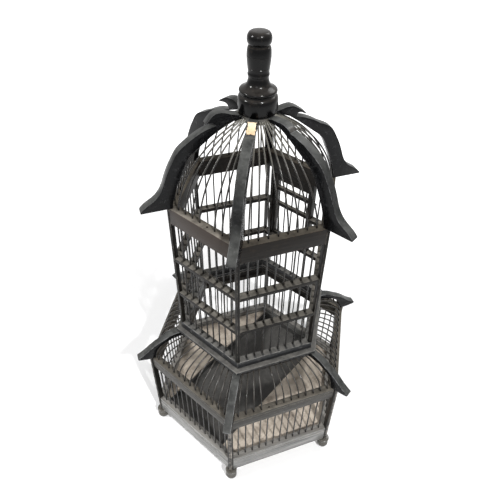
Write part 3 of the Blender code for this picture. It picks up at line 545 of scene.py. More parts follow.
rib_paint = painted("rib_paint", (8, 8, 9), (18, 19, 21), (116, 117, 118), (128, 129, 126), 0.25,
                    dust_cover=0.34, rub=0.85, scuffs=0.16, sheen=0.12)
post_paint = painted("post_paint", (12, 11, 10), (24, 22, 20), WORN_GREY, DUST_COLOUR, 0.35,
                     rub=0.6, scuffs=0.2, sheen=0.12)
bead_paint = painted("bead_paint", (20, 19, 18), (38, 36, 34), (142, 136, 128), DUST_COLOUR, 0.4,
                     rub=0.95, scuffs=0.2, sheen=0.15)
# Painted light: the top rails' paint and dust are lighter on the front left side, where the light falls from
# the left.
top_rail_paint = painted("top_rail_paint", (17, 15, 13), (32, 29, 26), WORN_BROWN, (86, 81, 73), 0.45,
                         dust_cover=0.8, rub=0.4, scuffs=0.2, grain=0.35, sheen=0.12,
                         painted_light_front_left=((52, 46, 42), (136, 130, 121)))
mid_rail_paint = painted("mid_rail_paint", (14, 13, 12), (30, 28, 26), WORN_GREY, (118, 114, 107), 0.45,
                         dust_cover=0.72, rub=0.6, scuffs=0.25, sheen=0.12)
neck_paint = painted("neck_paint", (18, 19, 21), (44, 45, 47), (142, 141, 137), (106, 104, 100), 0.3,
                     dust_cover=0.8, rub=0.95, scuffs=0.4, grain=0.4, sheen=0.2)
lower_rail_paint = painted("lower_rail_paint", (32, 31, 29), (64, 61, 56), (104, 100, 93), (104, 99, 91),
                           0.45, dust_cover=0.8, rub=0.7, scuffs=0.5, grain=0.6, sheen=0.2)
# Light grey paint on the bottom rails: partly dust and wear, partly a painted reflection of the white table
# below.
bottom_rail_paint = painted("bottom_rail_paint", (62, 62, 61), (144, 143, 140), (174, 173, 168),
                            (112, 108, 102), 0.35, dust_cover=0.8, rub=0.7, scuffs=0.45, grain=0.6, sheen=0.5)
tray_paint = painted("tray_paint", (46, 46, 45), (62, 61, 60), (92, 90, 86), (84, 82, 79), 0.6,
                     rub=0.6, scuffs=0.6, grain=0.4)


def make_rod_paint(name, black, brown, grey_from):
    """Thin paint on shaved rods: near black, browner where it has worn, and greyer above a height."""
    material, tree, shader = start_material(name)
    place = own_place(tree)
    wear = noise(tree, stretch(tree, place, (90.0, 90.0, 26.0)), 1.0, 4.0)
    colour = mix(tree, spread(tree, wear, 0.42, 0.68), black, brown)
    greyed = spread(tree, part_of(tree, place, "Z"), grey_from, DOME_TOP, 0.0, 0.75)
    colour = mix(tree, greyed, colour, (122, 120, 112))
    finish_material(tree, shader, {
        "Base Color": mix(tree, use(tree, DUST, Cover=0.18, Patch_Scale=150.0), colour, DUST_COLOUR),
        "Roughness": spread(tree, wear, 0.3, 0.7, 0.2, 0.42),
        "Specular IOR Level": 0.35,
    }, wear, 0.3, 0.2 * MM)
    return material


def make_gloss_paint(name, black, marks, worn_share, sheen):
    """Glossy black paint on a turning, with the lathe's lines under it and brown where it is rubbed."""
    material, tree, shader = start_material(name)
    lines = noise(tree, stretch(tree, own_place(tree), (8.0, 8.0, marks)), 1.0, 3.0)
    scuffed = use(tree, SCUFF, Scale=75.0, Cover=worn_share)
    dusty = use(tree, DUST, Cover=0.15, Patch_Scale=110.0)
    finish_material(tree, shader, {
        "Base Color": mix(tree, dusty, mix(tree, scuffed, black, (70, 62, 54)), (110, 104, 98)),
        "Roughness": spread(tree, scuffed, 0.0, 1.0, 0.19, 0.5),
        "Specular IOR Level": sheen,
    }, lines, 0.25, 0.2 * MM)
    return material


def make_bare_wood(name, pale, dark, stain, roughness=0.75):
    """Unpainted board: long grain, stains and dust."""
    material, tree, shader = start_material(name)
    grain_marks = use(tree, GRAIN, "Streak", Scale=0.7).node.outputs
    blots = noise(tree, own_place(tree), 30.0, 8.0, Roughness=0.7)
    colour = mix(tree, spread(tree, grain_marks["Streak"], 0.0, 1.0, 0.25, 0.75), dark, pale)
    finish_material(tree, shader, {
        "Base Color": mix(tree, spread(tree, blots, 0.46, 0.64, 0.0, 0.85), colour, stain),
        "Roughness": roughness,
    }, grain_marks["Height"], 0.4, 0.3 * MM)
    return material


def make_hinge_metal():
    """Blackened steel, a little rusted."""
    material, tree, shader = start_material("hinge_metal")
    rust = use(tree, SCUFF, Scale=400.0, Cover=0.8)
    finish_material(tree, shader, {
        "Base Color": mix(tree, rust, (60, 58, 56), (96, 66, 44)),
        "Metallic": spread(tree, rust, 0.0, 1.0, 0.9, 0.2),
        "Roughness": spread(tree, rust, 0.0, 1.0, 0.4, 0.8),
    })
    return material


rod_paint = make_rod_paint("rod_paint", (6, 6, 6), (25, 21, 17), DOME_TOP - 1 * MM)
wire_paint = make_rod_paint("wire_paint", (11, 11, 11), (36, 33, 30), DOME_TOP - 55 * MM)
finial_gloss = make_gloss_paint("finial_gloss", (6, 6, 7), 900.0, 0.35, 0.14)
foot_gloss = make_gloss_paint("foot_gloss", (72, 70, 65), 700.0, 0.3, 0.5)
floor_wood = make_bare_wood("floor_wood", (190, 179, 165), (158, 147, 134), (112, 102, 91))
raw_wood = make_bare_wood("raw_wood", (238, 220, 192), (212, 188, 154), (184, 156, 120))
old_break = make_bare_wood("old_break", (56, 53, 50), (38, 36, 34), (70, 66, 61), 0.35)
hinge_metal = make_hinge_metal()


# Boards made on the +X side of the cage


def rail_plan(radius, depth, post_half, post_proud, height):
    """The plan of a rail between two posts: square against the posts, mitred behind them."""
    out = radius * COS30
    half = radius / 2
    square = half - (post_half - post_proud / 2 + SEAM)
    post_depth = post_half / TAN30 - post_proud * COS30
    near = [(out, square), (out - post_depth, square), (out - depth, half - depth * TAN30 - SEAM)]
    far = [(x, -y) for x, y in reversed(near)]
    return [(x, y, height) for x, y in near + far]


def rail_board(radius, depth, post_half, post_proud, levels):
    """A rail drawn in plan and extruded up from level to level, each with its own setback."""
    height = levels[0][0]
    draw(rail_plan(radius, depth, post_half, post_proud, height))
    for level, _ in levels[1:]:
        extrude((0, 0, level - height))
        height = level
    front = radius * COS30 - MM / 20
    for level, setback in levels:
        if setback:
            pick_vertices(lambda place: place.x > front and abs(place.z - level) < MM / 20)
            bpy.ops.transform.translate(value=(-setback, 0, 0))
    return close_up()


def set_round(plain, special, special_face, name, paint, slot, nodes):
    """Sets a board out on all six faces, with a special one on its own face. {} is the face's name."""
    for face, face_name in enumerate(FACES):
        board = special if face == special_face else plain
        set_out(board, face_turn(face), name.format(face_name), paint, slot, [nodes.format(face_name)])
    discard(plain, special)


# The face and the number on it of the rod and of the wire that are missing
LOWER_ROD_GAP = (0, 5)
DOME_WIRE_GAP = (5, 5)


def make_lower_rails():
    """The lower top rails, with a shallow step along the foot and a groove near the top."""
    base = LOWER_RAIL_BASE
    levels = ((base, 1.2 * MM), (base + 7.5 * MM, 1.2 * MM), (base + 8.6 * MM, 0.0), (base + 25.2 * MM, 0.0),
              (base + 26.0 * MM, 0.7 * MM), (base + 26.8 * MM, 0.0), (LOWER_RAIL_TOP, 0.0))
    plain = rail_board(LOWER_RAIL_RADIUS, RAIL_DEPTH, LOWER_POST_HALF, 3 * MM, levels)
    drilled = copy_of(plain)
    along = LOWER_ROD_RADIUS * (LOWER_ROD_GAP[1] / LOWER_ROD_COUNT - 0.5)
    drill(drilled, (LOWER_ROD_RADIUS * COS30, along, LOWER_RAIL_TOP))
    for board in (plain, drilled):
        finish_board(board, width=0.6 * MM)
    set_round(plain, drilled, LOWER_ROD_GAP[0],
              "lower_top_rail_{}", lower_rail_paint, "dusty_paint", "lower_face_{}")


# The tray's mouth in the front left face, from its left end to its right end
TRAY_FACE = 5
MOUTH = (12.0 * MM - LOWER_RADIUS / 2, LOWER_RADIUS / 2 - 40.5 * MM)
SILL_BASE = BOTTOM_RAIL_TOP - 8 * MM


def make_bottom_rails():
    """The bottom rails: an apron, a groove and a round-edged sill. The tray's front is cut from one."""
    groove = SILL_BASE - 2.6 * MM
    top = BOTTOM_RAIL_TOP
    levels = ((BOTTOM_RAIL_BASE, 0.0), (groove, 0.0), (groove + 1.0 * MM, 1.7 * MM), (SILL_BASE, 1.7 * MM),
              (SILL_BASE + 0.9 * MM, 0.3 * MM), (SILL_BASE + 1.9 * MM, 0.0), (top - 1.9 * MM, 0.0),
              (top - 0.6 * MM, 0.4 * MM), (top, 1.4 * MM))
    plain = rail_board(LOWER_RADIUS, RAIL_DEPTH, LOWER_POST_HALF, 2 * MM, levels)
    open_rail = copy_of(plain)
    front = copy_of(plain)
    far = LOWER_RADIUS
    cut_with(open_rail, block((far / 2, MOUTH[0], 0), (far, MOUTH[1], SILL_BASE)))
    margin = 0.4 * MM
    kept = block((far / 2, MOUTH[0] + margin, 0), (far, MOUTH[1] - margin, SILL_BASE - margin))
    cut_with(front, kept, "INTERSECT")
    for board in (plain, open_rail, front):
        finish_board(board, width=0.45 * MM)
    set_round(plain, open_rail, TRAY_FACE, "bottom_rail_{}", bottom_rail_paint, "dusty_paint", "bottom_rail")
    set_once(front, TRAY_FACE, "tray_front_board", bottom_rail_paint, "dusty_paint", ["tray_front"], "tray")


def make_top_rails():
    levels = ((TOP_RAIL_BASE, 0.0), (TOP_RAIL_TOP, 0.0))
    plain = rail_board(UPPER_RADIUS, TOP_RAIL_DEPTH, UPPER_POST_HALF, 0.0, levels)
    drilled = copy_of(plain)
    along = DOME_WIRE_GAP[1] * ROD_PITCH - UPPER_ROD_RADIUS / 2
    drill(drilled, (UPPER_ROD_RADIUS * COS30, along, TOP_RAIL_TOP))
    for board in (plain, drilled):
        finish_board(board, width=0.7 * MM)
    set_round(plain, drilled, DOME_WIRE_GAP[0],
              "upper_top_rail_{}", top_rail_paint, "dusty_paint", "dome_face_{}")


# The doorway in the back right face, seen on the +X side: the hinge jamb's and the latch jamb's middles
DOOR_FACE = 2
JAMB_RODS = (2, 8)
JAMBS = tuple(number * ROD_PITCH - UPPER_ROD_RADIUS / 2 for number in JAMB_RODS)
JAMB_HALF = 2.5 * MM
DOORWAY = (JAMBS[0] + JAMB_HALF, JAMBS[1] - JAMB_HALF)


def make_mid_rails():
    """The mid rails. The upper one is open at the door."""
    for level, top in zip(("lower", "upper"), MID_RAIL_TOPS):
        plain = rail_board(UPPER_RADIUS - 0.7 * MM, MID_RAIL_DEPTH - 0.6 * MM, UPPER_POST_HALF, 0.7 * MM,
                           ((top - MID_RAIL_HEIGHT, 0.0), (top, 0.0)))
        by_door = copy_of(plain)
        if level == "upper":
            cut_with(by_door, block((0, JAMBS[0], 0), (1, JAMBS[1], 1)))
        for board in (plain, by_door):
            mark_rods(finish_board(board))
        set_round(plain, by_door, DOOR_FACE,
                  level + "_mid_rail_{}", mid_rail_paint, "black_paint", "upper_grille_{}")


# Rods and wires


def draw_rods(paths, radius):
    """Rods or wires along paths of points, joined as one mesh."""
    let_go()
    bpy.ops.curve.primitive_bezier_curve_add(location=(0, 0, 0))
    rods = bpy.context.object
    curve = rods.data
    curve.splines.clear()
    curve.dimensions = "3D"
    for path in paths:
        spline = curve.splines.new("BEZIER")
        spline.bezier_points.add(len(path) - 1)
        for point, place in zip(spline.bezier_points, path):
            point.co = place
            point.handle_left_type = "AUTO"
            point.handle_right_type = "AUTO"
    curve.resolution_u = 3
    curve.bevel_depth = radius
    curve.bevel_resolution = 3
    curve.use_fill_caps = True
    take(rods)
    bpy.ops.object.convert(target="MESH")
    bpy.ops.object.mode_set(mode="EDIT")
    return smooth(close_up(), 40)


def rod_foot(corner_radius, count, index, face):
    """A rod's place in plan, on a face that has been turned to its own side."""
    place = Vector((corner_radius * COS30, corner_radius * (index / count - 0.5), 0))
    return Matrix.Rotation(face_turn(face), 3, "Z") @ place


def stray(size):
    return Vector((chance.uniform(-size, size), chance.uniform(-size, size), 0))


def straight_path(foot, base, top):
    """A rod that is not quite straight, as a split and shaved rod is."""
    path = []
    for share in (0.0, 0.33, 0.67, 1.0):
        bow = stray(0.35 * MM) if 0 < share < 1 else stray(0.1 * MM)
        path.append(foot + bow + Vector((0, 0, base + (top - base) * share)))
    return path


# The bent rods' shares of their foot's radius, with the rise above the rail: in mm, and as shares of the dome
ROOF_PROFILE = ((1.0, -6.0), (1.0, 1.0), (0.985, 14.0), (0.95, 26.0), (0.9, 34.5), (0.85, 40.0), (0.8, 44.0),
                (0.75, 47.0), (0.69, 49.6))
DOME_PROFILE = ((1.0, -6 / 135), (1.0, 0.008), (0.985, 0.12), (0.94, 0.26), (0.89, 0.375), (0.83, 0.48),
                (0.76, 0.575), (0.68, 0.665), (0.59, 0.75), (0.5, 0.82), (0.4, 0.885), (0.31, 0.938))


def bent_path(foot, profile, base, unit, sway, middle, reach):
    """A rod bent inwards from its foot, which sways most about the middle share of its foot's radius."""
    path = []
    for share, rise in profile:
        swaying = profile[-1][0] < share < 0.99
        bend = sway * (1 - abs(share - middle) / reach) if swaying else Vector()
        path.append(foot * share + bend + Vector((0, 0, base + rise * unit)))
    return path


def roof_path(foot):
    return bent_path(foot, ROOF_PROFILE, LOWER_RAIL_TOP, MM, stray(0.5 * MM), 0.85, 0.16)


def dome_path(foot):
    crown = HUB_BASE + (DOME_TOP - HUB_BASE) / 2
    path = bent_path(foot, DOME_PROFILE, TOP_RAIL_TOP, crown - TOP_RAIL_TOP, stray(0.6 * MM), 0.65, 0.35)
    path.append(foot.normalized() * (HUB_RADIUS - 1 * MM) + Vector((0, 0, crown)))
    return path


def make_rods():
    for face, name in enumerate(FACES):
        lower, roof, upper, dome = [], [], [], []
        for index in range(1, LOWER_ROD_COUNT):
            foot = rod_foot(LOWER_ROD_RADIUS, LOWER_ROD_COUNT, index, face)
            lower.append(straight_path(foot, BOTTOM_RAIL_TOP - 2 * MM, LOWER_RAIL_BASE + 4 * MM))
            if (face, index) != LOWER_ROD_GAP:
                roof.append(roof_path(foot))
        for index in range(1, UPPER_ROD_COUNT):
            foot = rod_foot(UPPER_ROD_RADIUS, UPPER_ROD_COUNT, index, face)
            under_door = face == DOOR_FACE and JAMB_RODS[0] <= index <= JAMB_RODS[1]
            top = MID_RAIL_TOPS[0] - 2 * MM if under_door else TOP_RAIL_BASE + 4 * MM
            upper.append(straight_path(foot, BASE_RAIL_TOP - 3 * MM, top))
            if (face, index) != DOME_WIRE_GAP:
                dome.append(dome_path(foot))
        for kind, paths, radius, paint, replaced in (
            ("lower_rods_", lower, ROD, rod_paint, "lower_face_"),
            ("roof_rods_", roof, ROD, rod_paint, "lower_face_"),
            ("upper_rods_", upper, ROD, rod_paint, "upper_grille_"),
            ("dome_wires_", dome, WIRE, wire_paint, "dome_face_"),
        ):
            dress(draw_rods(paths, radius), kind + name, paint, [replaced + name])


# Posts, made at the +X corner
BEAD_RADIUS = 2.2 * MM
BEAD_PLACE = 2.9 * MM


def corner_plan(radius, nose, side, height, inner):
    """A corner post's plan: its nose, one side's (distance, depth) points, the same mirrored, and a heel."""
    points = []
    for along, depth in side:
        points.append(Vector((radius - along / 2 - depth * COS30, along * COS30 - depth / 2, height)))
    mirrored = [Vector((point.x, -point.y, point.z)) for point in reversed(points)]
    return mirrored + [Vector((radius - nose, 0, height))] + points + [Vector((radius - inner, 0, height))]


def make_posts():
    """Lower posts with a bead down each side, and plain upper posts."""
    side = []
    for turn in (-60, -35, -10, 15, 40, 65):
        angle = math.radians(turn)
        side.append((BEAD_PLACE + BEAD_RADIUS * math.sin(angle), BEAD_RADIUS * (1 - math.cos(angle))))
    side += [(5.2 * MM, 1.3 * MM), (5.6 * MM, 0.5 * MM), (LOWER_POST_HALF, 0.6 * MM)]
    draw(corner_plan(LOWER_POST_RADIUS, 2.2 * MM, side, BOTTOM_RAIL_BASE, 2 * LOWER_POST_HALF))
    extrude((0, 0, LOWER_RAIL_TOP - BOTTOM_RAIL_BASE))
    beaded = close_up()
    edge = LOWER_POST_RADIUS - 2.6 * MM
    rub = beaded.data.attributes.new("rub", "FLOAT", "FACE")
    rub.data.foreach_set("value", [float(face.center.x > edge) for face in beaded.data.polygons])
    lay_grain(beaded, "z")
    smooth(beaded, 50)
    draw(corner_plan(UPPER_RADIUS, 0.0, [(UPPER_POST_HALF, 0.0)], BASE_RAIL_TOP, 2 * UPPER_POST_HALF))
    extrude((0, 0, TOP_RAIL_TOP - BASE_RAIL_TOP))
    plain = finish_board(close_up(), "z", 0.6 * MM)
    for corner in range(len(CORNERS)):
        set_on_corner(beaded, corner, "beaded_post_", bead_paint, "lower_post_")
        set_on_corner(plain, corner, "cage_post_", post_paint, "upper_post_")
    discard(beaded, plain)


# Ribs, sawn from board: outlines of radius and height above their rail, in millimetres
UPPER_INNER = ((141.1, 0.3), (139.4, 10.4), (136.5, 21.4), (130, 41.9), (122.4, 58.9), (114.6, 76.4),
               (104, 90.9), (85, 105.7), (66.6, 119.7), (49, 131.7))
UPPER_TONGUE = ((30.2, 135.4), (26.3, 137.6), (26.3, 139.6), (30.2, 139.6))
LEAF = ((30.2, 142), (36, 143), (43.2, 145), (50, 147.4), (56.6, 149), (61, 149.3), (65.5, 148.6), (70, 146),
        (74, 142.4), (77.5, 138.2), (80.8, 133.4))
LEAF_UNDER = ((80.8, 133.4), (78, 135), (74, 135.6), (70.5, 134.9), (67, 133), (64.9, 130.6))
UPPER_OUTER = ((64.9, 130.6), (70.7, 129.5), (80.2, 126.4), (91, 121.6), (102, 115.2), (111.5, 108.6),
               (121, 101.2), (128, 93.2), (135, 81.4), (142, 68.4), (148, 54.4), (152.5, 42.4),
               (158, 31.9), (166, 22.4), (176, 15.4), (185, 9.4), (190.8, 3.8))
UPPER_HEEL = [(192.0, 1.8), (191.4, 0.3)]
# The leaves have snapped off the front and the front right rib
SNAPPED = {
    0: ((30.2, 142), (38.4, 143.6), (42.6, 144.8), (44.8, 144.2), (46.4, 141.6), (48.6, 139.8), (50.2, 137.4),
        (52.6, 135.9), (54.2, 133.6), (56.2, 132.2), (55.8, 130), (58.6, 129.8), (61.4, 130.4)),
    1: ((30.2, 140.6), (40, 140.4), (48, 140.6), (53, 139.8), (57, 138.5), (60.5, 136.9), (63.5, 135.2),
        (65.4, 133.4), (66.2, 131.6)),
}
# The lowest and the highest radius and height of each bare face, in millimetres
BREAKS = {0: ((43.6, 131.8), (57.2, 145.2)), 1: ((62.0, 130.8), (68.0, 137.4))}
# The ribs at the back were set a little lower at the crown. Their leaves were sawn freely: one is more hooked
CROWN_DROP = (5.5, 3.0)
HOOKED_LEAF = ((30.2, 141.8), (36, 145), (44.5, 148), (52.3, 147.2), (60, 144.8), (66, 141.4), (70, 138.9),
               (72.6, 136.4))
HOOKED_UNDER = ((72.6, 136.4), (68.8, 136.7), (64.9, 137.2), (60.5, 137.8), (57, 137.4), (54, 135.8),
                (51.9, 133.4), (51, 130.4))
HOOKED_ARM = [(57, 128.2), (62.4, 126.2), (68.3, 124.3)]
BLUNT_LEAF = ((30.2, 140.2), (38.6, 142.4), (44.9, 143.8), (52, 144.2), (59.5, 141.4), (66, 137.6),
              (71.5, 133.8), (75.4, 130.8), (76.8, 129.2), (75.6, 128.7))
BLUNT_UNDER = ((75.6, 128.7), (71, 130.8), (67.5, 132.2), (63.8, 132.4), (61.4, 130.4), (61, 126.6))
BLUNT_ARM = [(64.5, 125.4), (68.3, 124.5)]
# The radius where the back ribs' arms meet the common outline
ARM_START = 72
LOWER_BACK = ((150.3, 60.7), (162.1, 60.7), (173.3, 57.9), (183, 53.5), (191.8, 48), (200.2, 43.4),
              (207.9, 38.6), (214.9, 33.4), (221.5, 27.8), (227.8, 22.1), (233.9, 17.4), (241, 12.6),
              (247.3, 8.9))
LOWER_NOSE = [(247.2, 6.6), (245.6, 4.6), (235, 2.2), (224, 0.3)]
LOWER_UNDER = ((211.1, 0.3), (210.2, 6.5), (208.6, 12.4), (206.1, 19.8), (203, 26.3), (198.6, 31.8),
               (193.1, 36.5), (181.9, 43.1), (168.3, 48), (150.3, 50.6))


def curved(points, steps=3):
    """A smooth line through the points."""
    line = []
    last = len(points) - 1
    for start in range(last):
        before, near, far, after = (Vector(points[max(0, min(last, start + way))]) for way in (-1, 0, 1, 2))
        for step in range(steps):
            share = step / steps
            line.append(0.5 * (2 * near + (far - before) * share
                               + (2 * before - 5 * near + 4 * far - after) * share ** 2
                               + (3 * near - before - 3 * far + after) * share ** 3))
    line.append(Vector(points[last]))
    return line


def lowered(points, drop):
    """The same line, lower by the whole drop near the crown, and by less and less further out."""
    whole, none = 102, 124
    return [(x, y - drop * max(0.0, min(1.0, (none - x) / (none - whole)))) for x, y in points]


def saw_rib(outline, rail_top):
    """A board in the upright plane of the +X corner, sawn to an outline."""
    draw([Vector((radius * MM, -RIB_THICKNESS / 2, rail_top + height * MM)) for radius, height in outline])
    extrude((0, RIB_THICKNESS, 0))
    return close_up()


def within_break(radius, height, corner):
    """Whether a place, by its radius and its height, lies where the corner's leaf broke off."""
    low, high = BREAKS[corner]
    above_rail = (height - TOP_RAIL_TOP) / MM
    return low[0] < radius / MM < high[0] and low[1] < above_rail < high[1]


def split_break(board, corner):
    """Splinters the face where a leaf has snapped off."""
    edit(board)
    for share in (-0.4, -0.17, 0.02, 0.2, 0.4):
        bpy.ops.mesh.select_all(action="SELECT")
        bpy.ops.mesh.bisect(plane_co=(0, RIB_THICKNESS * share, 0), plane_no=(0, 1, 0))
    inner = RIB_THICKNESS * 0.45
    pick_vertices(lambda place: within_break(place.x, place.z, corner) and abs(place.y) < inner)
    bpy.ops.transform.vertex_random(offset=0.8 * MM, uniform=0.6, normal=0.0, seed=4)
    bpy.ops.object.mode_set(mode="OBJECT")


def bare_break(rib, corner):
    """Gives the broken faces the bare wood's material."""
    rib.data.materials.append(raw_wood if corner == 0 else old_break)
    out = Vector((math.cos(corner_turn(corner)), math.sin(corner_turn(corner)), 0))
    along = Vector((-out.y, out.x, 0))
    for face in rib.data.polygons:
        bare = abs(face.center.dot(along)) < RIB_THICKNESS * 0.42 and face.normal.dot(out) > 0.3
        if bare and within_break(face.center.dot(out), face.center.z, corner):
            face.material_index = 1


def make_ribs():
    inner = curved(UPPER_INNER) + list(UPPER_TONGUE)
    outer = curved(UPPER_OUTER)
    leaf = curved(LEAF) + curved(LEAF_UNDER)[1:-1]
    whole = finish_board(saw_rib(inner + leaf + outer + UPPER_HEEL, TOP_RAIL_TOP), "z", 0.8 * MM)
    above, below = CROWN_DROP
    low_inner = lowered(curved(UPPER_INNER), below) + list(UPPER_TONGUE)
    low_outer = [point for point in lowered(outer, above) if point[0] > ARM_START]
    at_back = []
    for top, under, arm in ((BLUNT_LEAF, BLUNT_UNDER, BLUNT_ARM), (HOOKED_LEAF, HOOKED_UNDER, HOOKED_ARM)):
        back_leaf = curved(top) + curved(under)[1:] + arm
        rib = saw_rib(low_inner + back_leaf + low_outer + UPPER_HEEL, TOP_RAIL_TOP)
        at_back.append(finish_board(rib, "z", 0.8 * MM))
    blunt, hooked = at_back
    snapped = []
    for corner, stub in SNAPPED.items():
        rib = saw_rib(inner + list(stub) + outer[corner:] + UPPER_HEEL, TOP_RAIL_TOP)
        split_break(rib, corner)
        snapped.append(finish_board(rib, "z"))
    lower = saw_rib(curved(LOWER_BACK) + LOWER_NOSE + curved(LOWER_UNDER), LOWER_RAIL_TOP)
    finish_board(lower, "x", 0.9 * MM)
    boards = (*snapped, blunt, blunt, hooked, whole)
    for corner, board in enumerate(boards):
        rib = set_on_corner(board, corner, "dome_rib_", rib_paint, "upper_rib_")
        if corner in SNAPPED:
            bare_break(rib, corner)
        set_on_corner(lower, corner, "roof_rib_", rib_paint, "lower_rib_")
    discard(whole, lower, blunt, hooked, *snapped)


# Rings, made as loops of six


def ring(section):
    """A mitred six-sided ring: a hexagon drawn up through its section, then closed by a bridge."""
    let_go()
    radius, height = section[0]
    bpy.ops.mesh.primitive_circle_add(vertices=6, radius=radius, location=(0, 0, 0))
    edit(bpy.context.object)
    bpy.ops.mesh.select_mode(type="EDGE")
    bpy.ops.transform.translate(value=(0, 0, height))
    for next_radius, next_height in section[1:]:
        extrude((0, 0, next_height - height))
        share = next_radius / radius
        bpy.ops.transform.resize(value=(share, share, 1), center_override=(0, 0, next_height))
        radius, height = next_radius, next_height
    bpy.ops.mesh.select_mode(type="VERT")

    def on_ends(place):
        flat = math.hypot(place.x, place.y)
        ends = (section[0], section[-1])
        return any(abs(flat - end[0]) < MM / 50 and abs(place.z - end[1]) < MM / 50 for end in ends)

    pick_vertices(on_ends)
    bpy.ops.mesh.select_mode(type="EDGE")
    bpy.ops.mesh.bridge_edge_loops()
    return close_up()


def grain_round(piece, with_rods):
    """Lays the grain along each side of a ring, and numbers the places of the upper rods if it holds them."""
    side_shift = 0.37
    places = [0.0] * (3 * len(piece.data.loops))
    numbers = [0.0] * len(piece.data.loops)
    for face in piece.data.polygons:
        side = round(math.atan2(face.center.y, face.center.x) / math.radians(60))
        angle = side * math.radians(60)
        along = Vector((-math.sin(angle), math.cos(angle), 0))
        out = Vector((math.cos(angle), math.sin(angle), 0))
        for loop in face.loop_indices:
            place = piece.data.vertices[piece.data.loops[loop].vertex_index].co
            places[3 * loop:3 * loop + 3] = (place.dot(along) + side * side_shift, place.dot(out), place.z)
            if with_rods:
                numbers[loop] = place.dot(along) / ROD_PITCH + UPPER_ROD_COUNT / 2
    piece.data.attributes.new("board", "FLOAT_VECTOR", "CORNER").data.foreach_set("vector", places)
    piece.data.attributes.new("rod", "FLOAT", "CORNER").data.foreach_set("value", numbers)


def make_ring(section, name, paint, nodes, width=0.5 * MM, angle=35, with_rods=False):
    piece = ring(section)
    round_edges(piece, width)
    smooth(piece, angle)
    grain_round(piece, with_rods)
    dress(piece, name, paint, [nodes])


def make_neck():
    """The upper cage's base rail, the collar board under it, and the ring that holds the roof rods."""
    bore = UPPER_RADIUS - 15.5 * MM
    top = BASE_RAIL_TOP
    rail = ((UPPER_RADIUS, BASE_RAIL_BASE), (UPPER_RADIUS, top - 3.2 * MM),
            (UPPER_RADIUS - 0.9 * MM, top - 1.0 * MM), (UPPER_RADIUS - 2.6 * MM, top),
            (bore, top), (bore, BASE_RAIL_BASE))
    make_ring(rail, "cage_base_ring", neck_paint, "upper_base_rail", with_rods=True)
    eased = COLLAR_RADIUS - 0.3 * MM
    edge = COLLAR_RADIUS - 1.4 * MM
    middle = (COLLAR_BASE + COLLAR_TOP) / 2
    collar = ((edge, COLLAR_BASE), (eased, COLLAR_BASE + 1.5 * MM), (COLLAR_RADIUS, middle),
              (eased, COLLAR_TOP - 1.5 * MM), (edge, COLLAR_TOP), (bore, COLLAR_TOP), (bore, COLLAR_BASE))
    make_ring(collar, "neck_collar", neck_paint, "collar_board", angle=50)
    ring_top = COLLAR_BASE - SEAM
    holder = ((UPPER_RADIUS, RING_BASE), (UPPER_RADIUS, ring_top), (bore, ring_top), (bore, RING_BASE))
    make_ring(holder, "rod_ring", post_paint, "roof_ring", width=0.6 * MM)


# Turnings


def turn_profile(profile, steps, angle):
    """Spins a profile of (radius, height) round the upright axis, and smooths it up to an angle."""
    draw([(radius, 0, height) for radius, height in profile], closed=False)
    bpy.ops.mesh.select_all(action="SELECT")
    bpy.ops.mesh.spin(steps=steps, angle=math.tau, center=(0, 0, 0), axis=(0, 0, 1))
    return smooth(close_up(), angle)


# The finial's outline in millimetres, from the foot of its drum: drum, collar, neck ring, barrel and knob
FINIAL_PROFILE = (
    ((0, 0), (24.6, 0), (26.9, 0.4), (28.4, 1.6), (29.3, 3.6), (29.8, 7), (29.9, 11), (29.9, 17.5),
     (29.6, 21.5), (28.9, 24.6), (27.6, 26.8), (25.8, 27.9)),
    ((25.6, 29.6), (26.6, 30.4), (27.5, 31.6), (28, 33.2), (27.7, 34.6), (26.7, 35.8), (24.6, 37), (22, 38.2),
     (19.6, 39.8), (17.8, 41.6), (16.5, 44), (15.6, 46.8), (15, 50), (14.6, 52.8)),
    ((14.7, 53.3), (15.4, 54), (15.7, 55.4), (15.7, 57.2), (15.3, 58.5)),
    ((15.1, 59), (15.5, 62.7), (15.8, 65), (15.6, 65.3), (15.9, 65.6), (16.3, 69), (16.8, 73.7), (17.2, 79.7),
     (17.2, 81.2), (16.9, 81.5), (17.2, 81.8), (17.2, 84.2), (16.9, 88.2), (16.4, 91.4), (15.7, 93.2),
     (14.2, 94.1), (13.3, 94.3)),
    ((13.3, 95.3), (14.6, 95.8), (15.9, 97.2), (16.8, 99.2), (17.2, 101.8), (17.2, 104.6), (16.7, 107.2),
     (15.7, 109.4), (14.2, 111.3), (12.3, 112.4), (9.6, 112.8), (5, 113), (0, 113.1)),
)


def make_finial():
    """The finial, and the hub that it stands on."""
    profile = [(radius * MM, FINIAL_BASE + height * MM) for part in FINIAL_PROFILE for radius, height in part]
    dress(turn_profile(profile, 72, 32), "turned_finial", finial_gloss, ["finial"])
    rim = HUB_RADIUS
    disc = [(0, HUB_BASE), (rim - 1.2 * MM, HUB_BASE), (rim - 0.3 * MM, HUB_BASE + 0.4 * MM),
            (rim, HUB_BASE + 1.4 * MM), (rim, DOME_TOP - 0.8 * MM), (rim - 0.5 * MM, DOME_TOP), (0, DOME_TOP)]
    dress(turn_profile(disc, 48, 40), "wire_hub", foot_gloss, ["crown_hub"])


FOOT_RADIUS = 12.0 * MM
CUSHION_RADIUS = 12.2 * MM
CUSHION = (25.0 * MM, 32.0 * MM)
FOOT_NECK = 6.5 * MM
FOOT_FLAT = 4.0 * MM
FOOT_CORNER_RADIUS = LOWER_RADIUS - 4.5 * MM


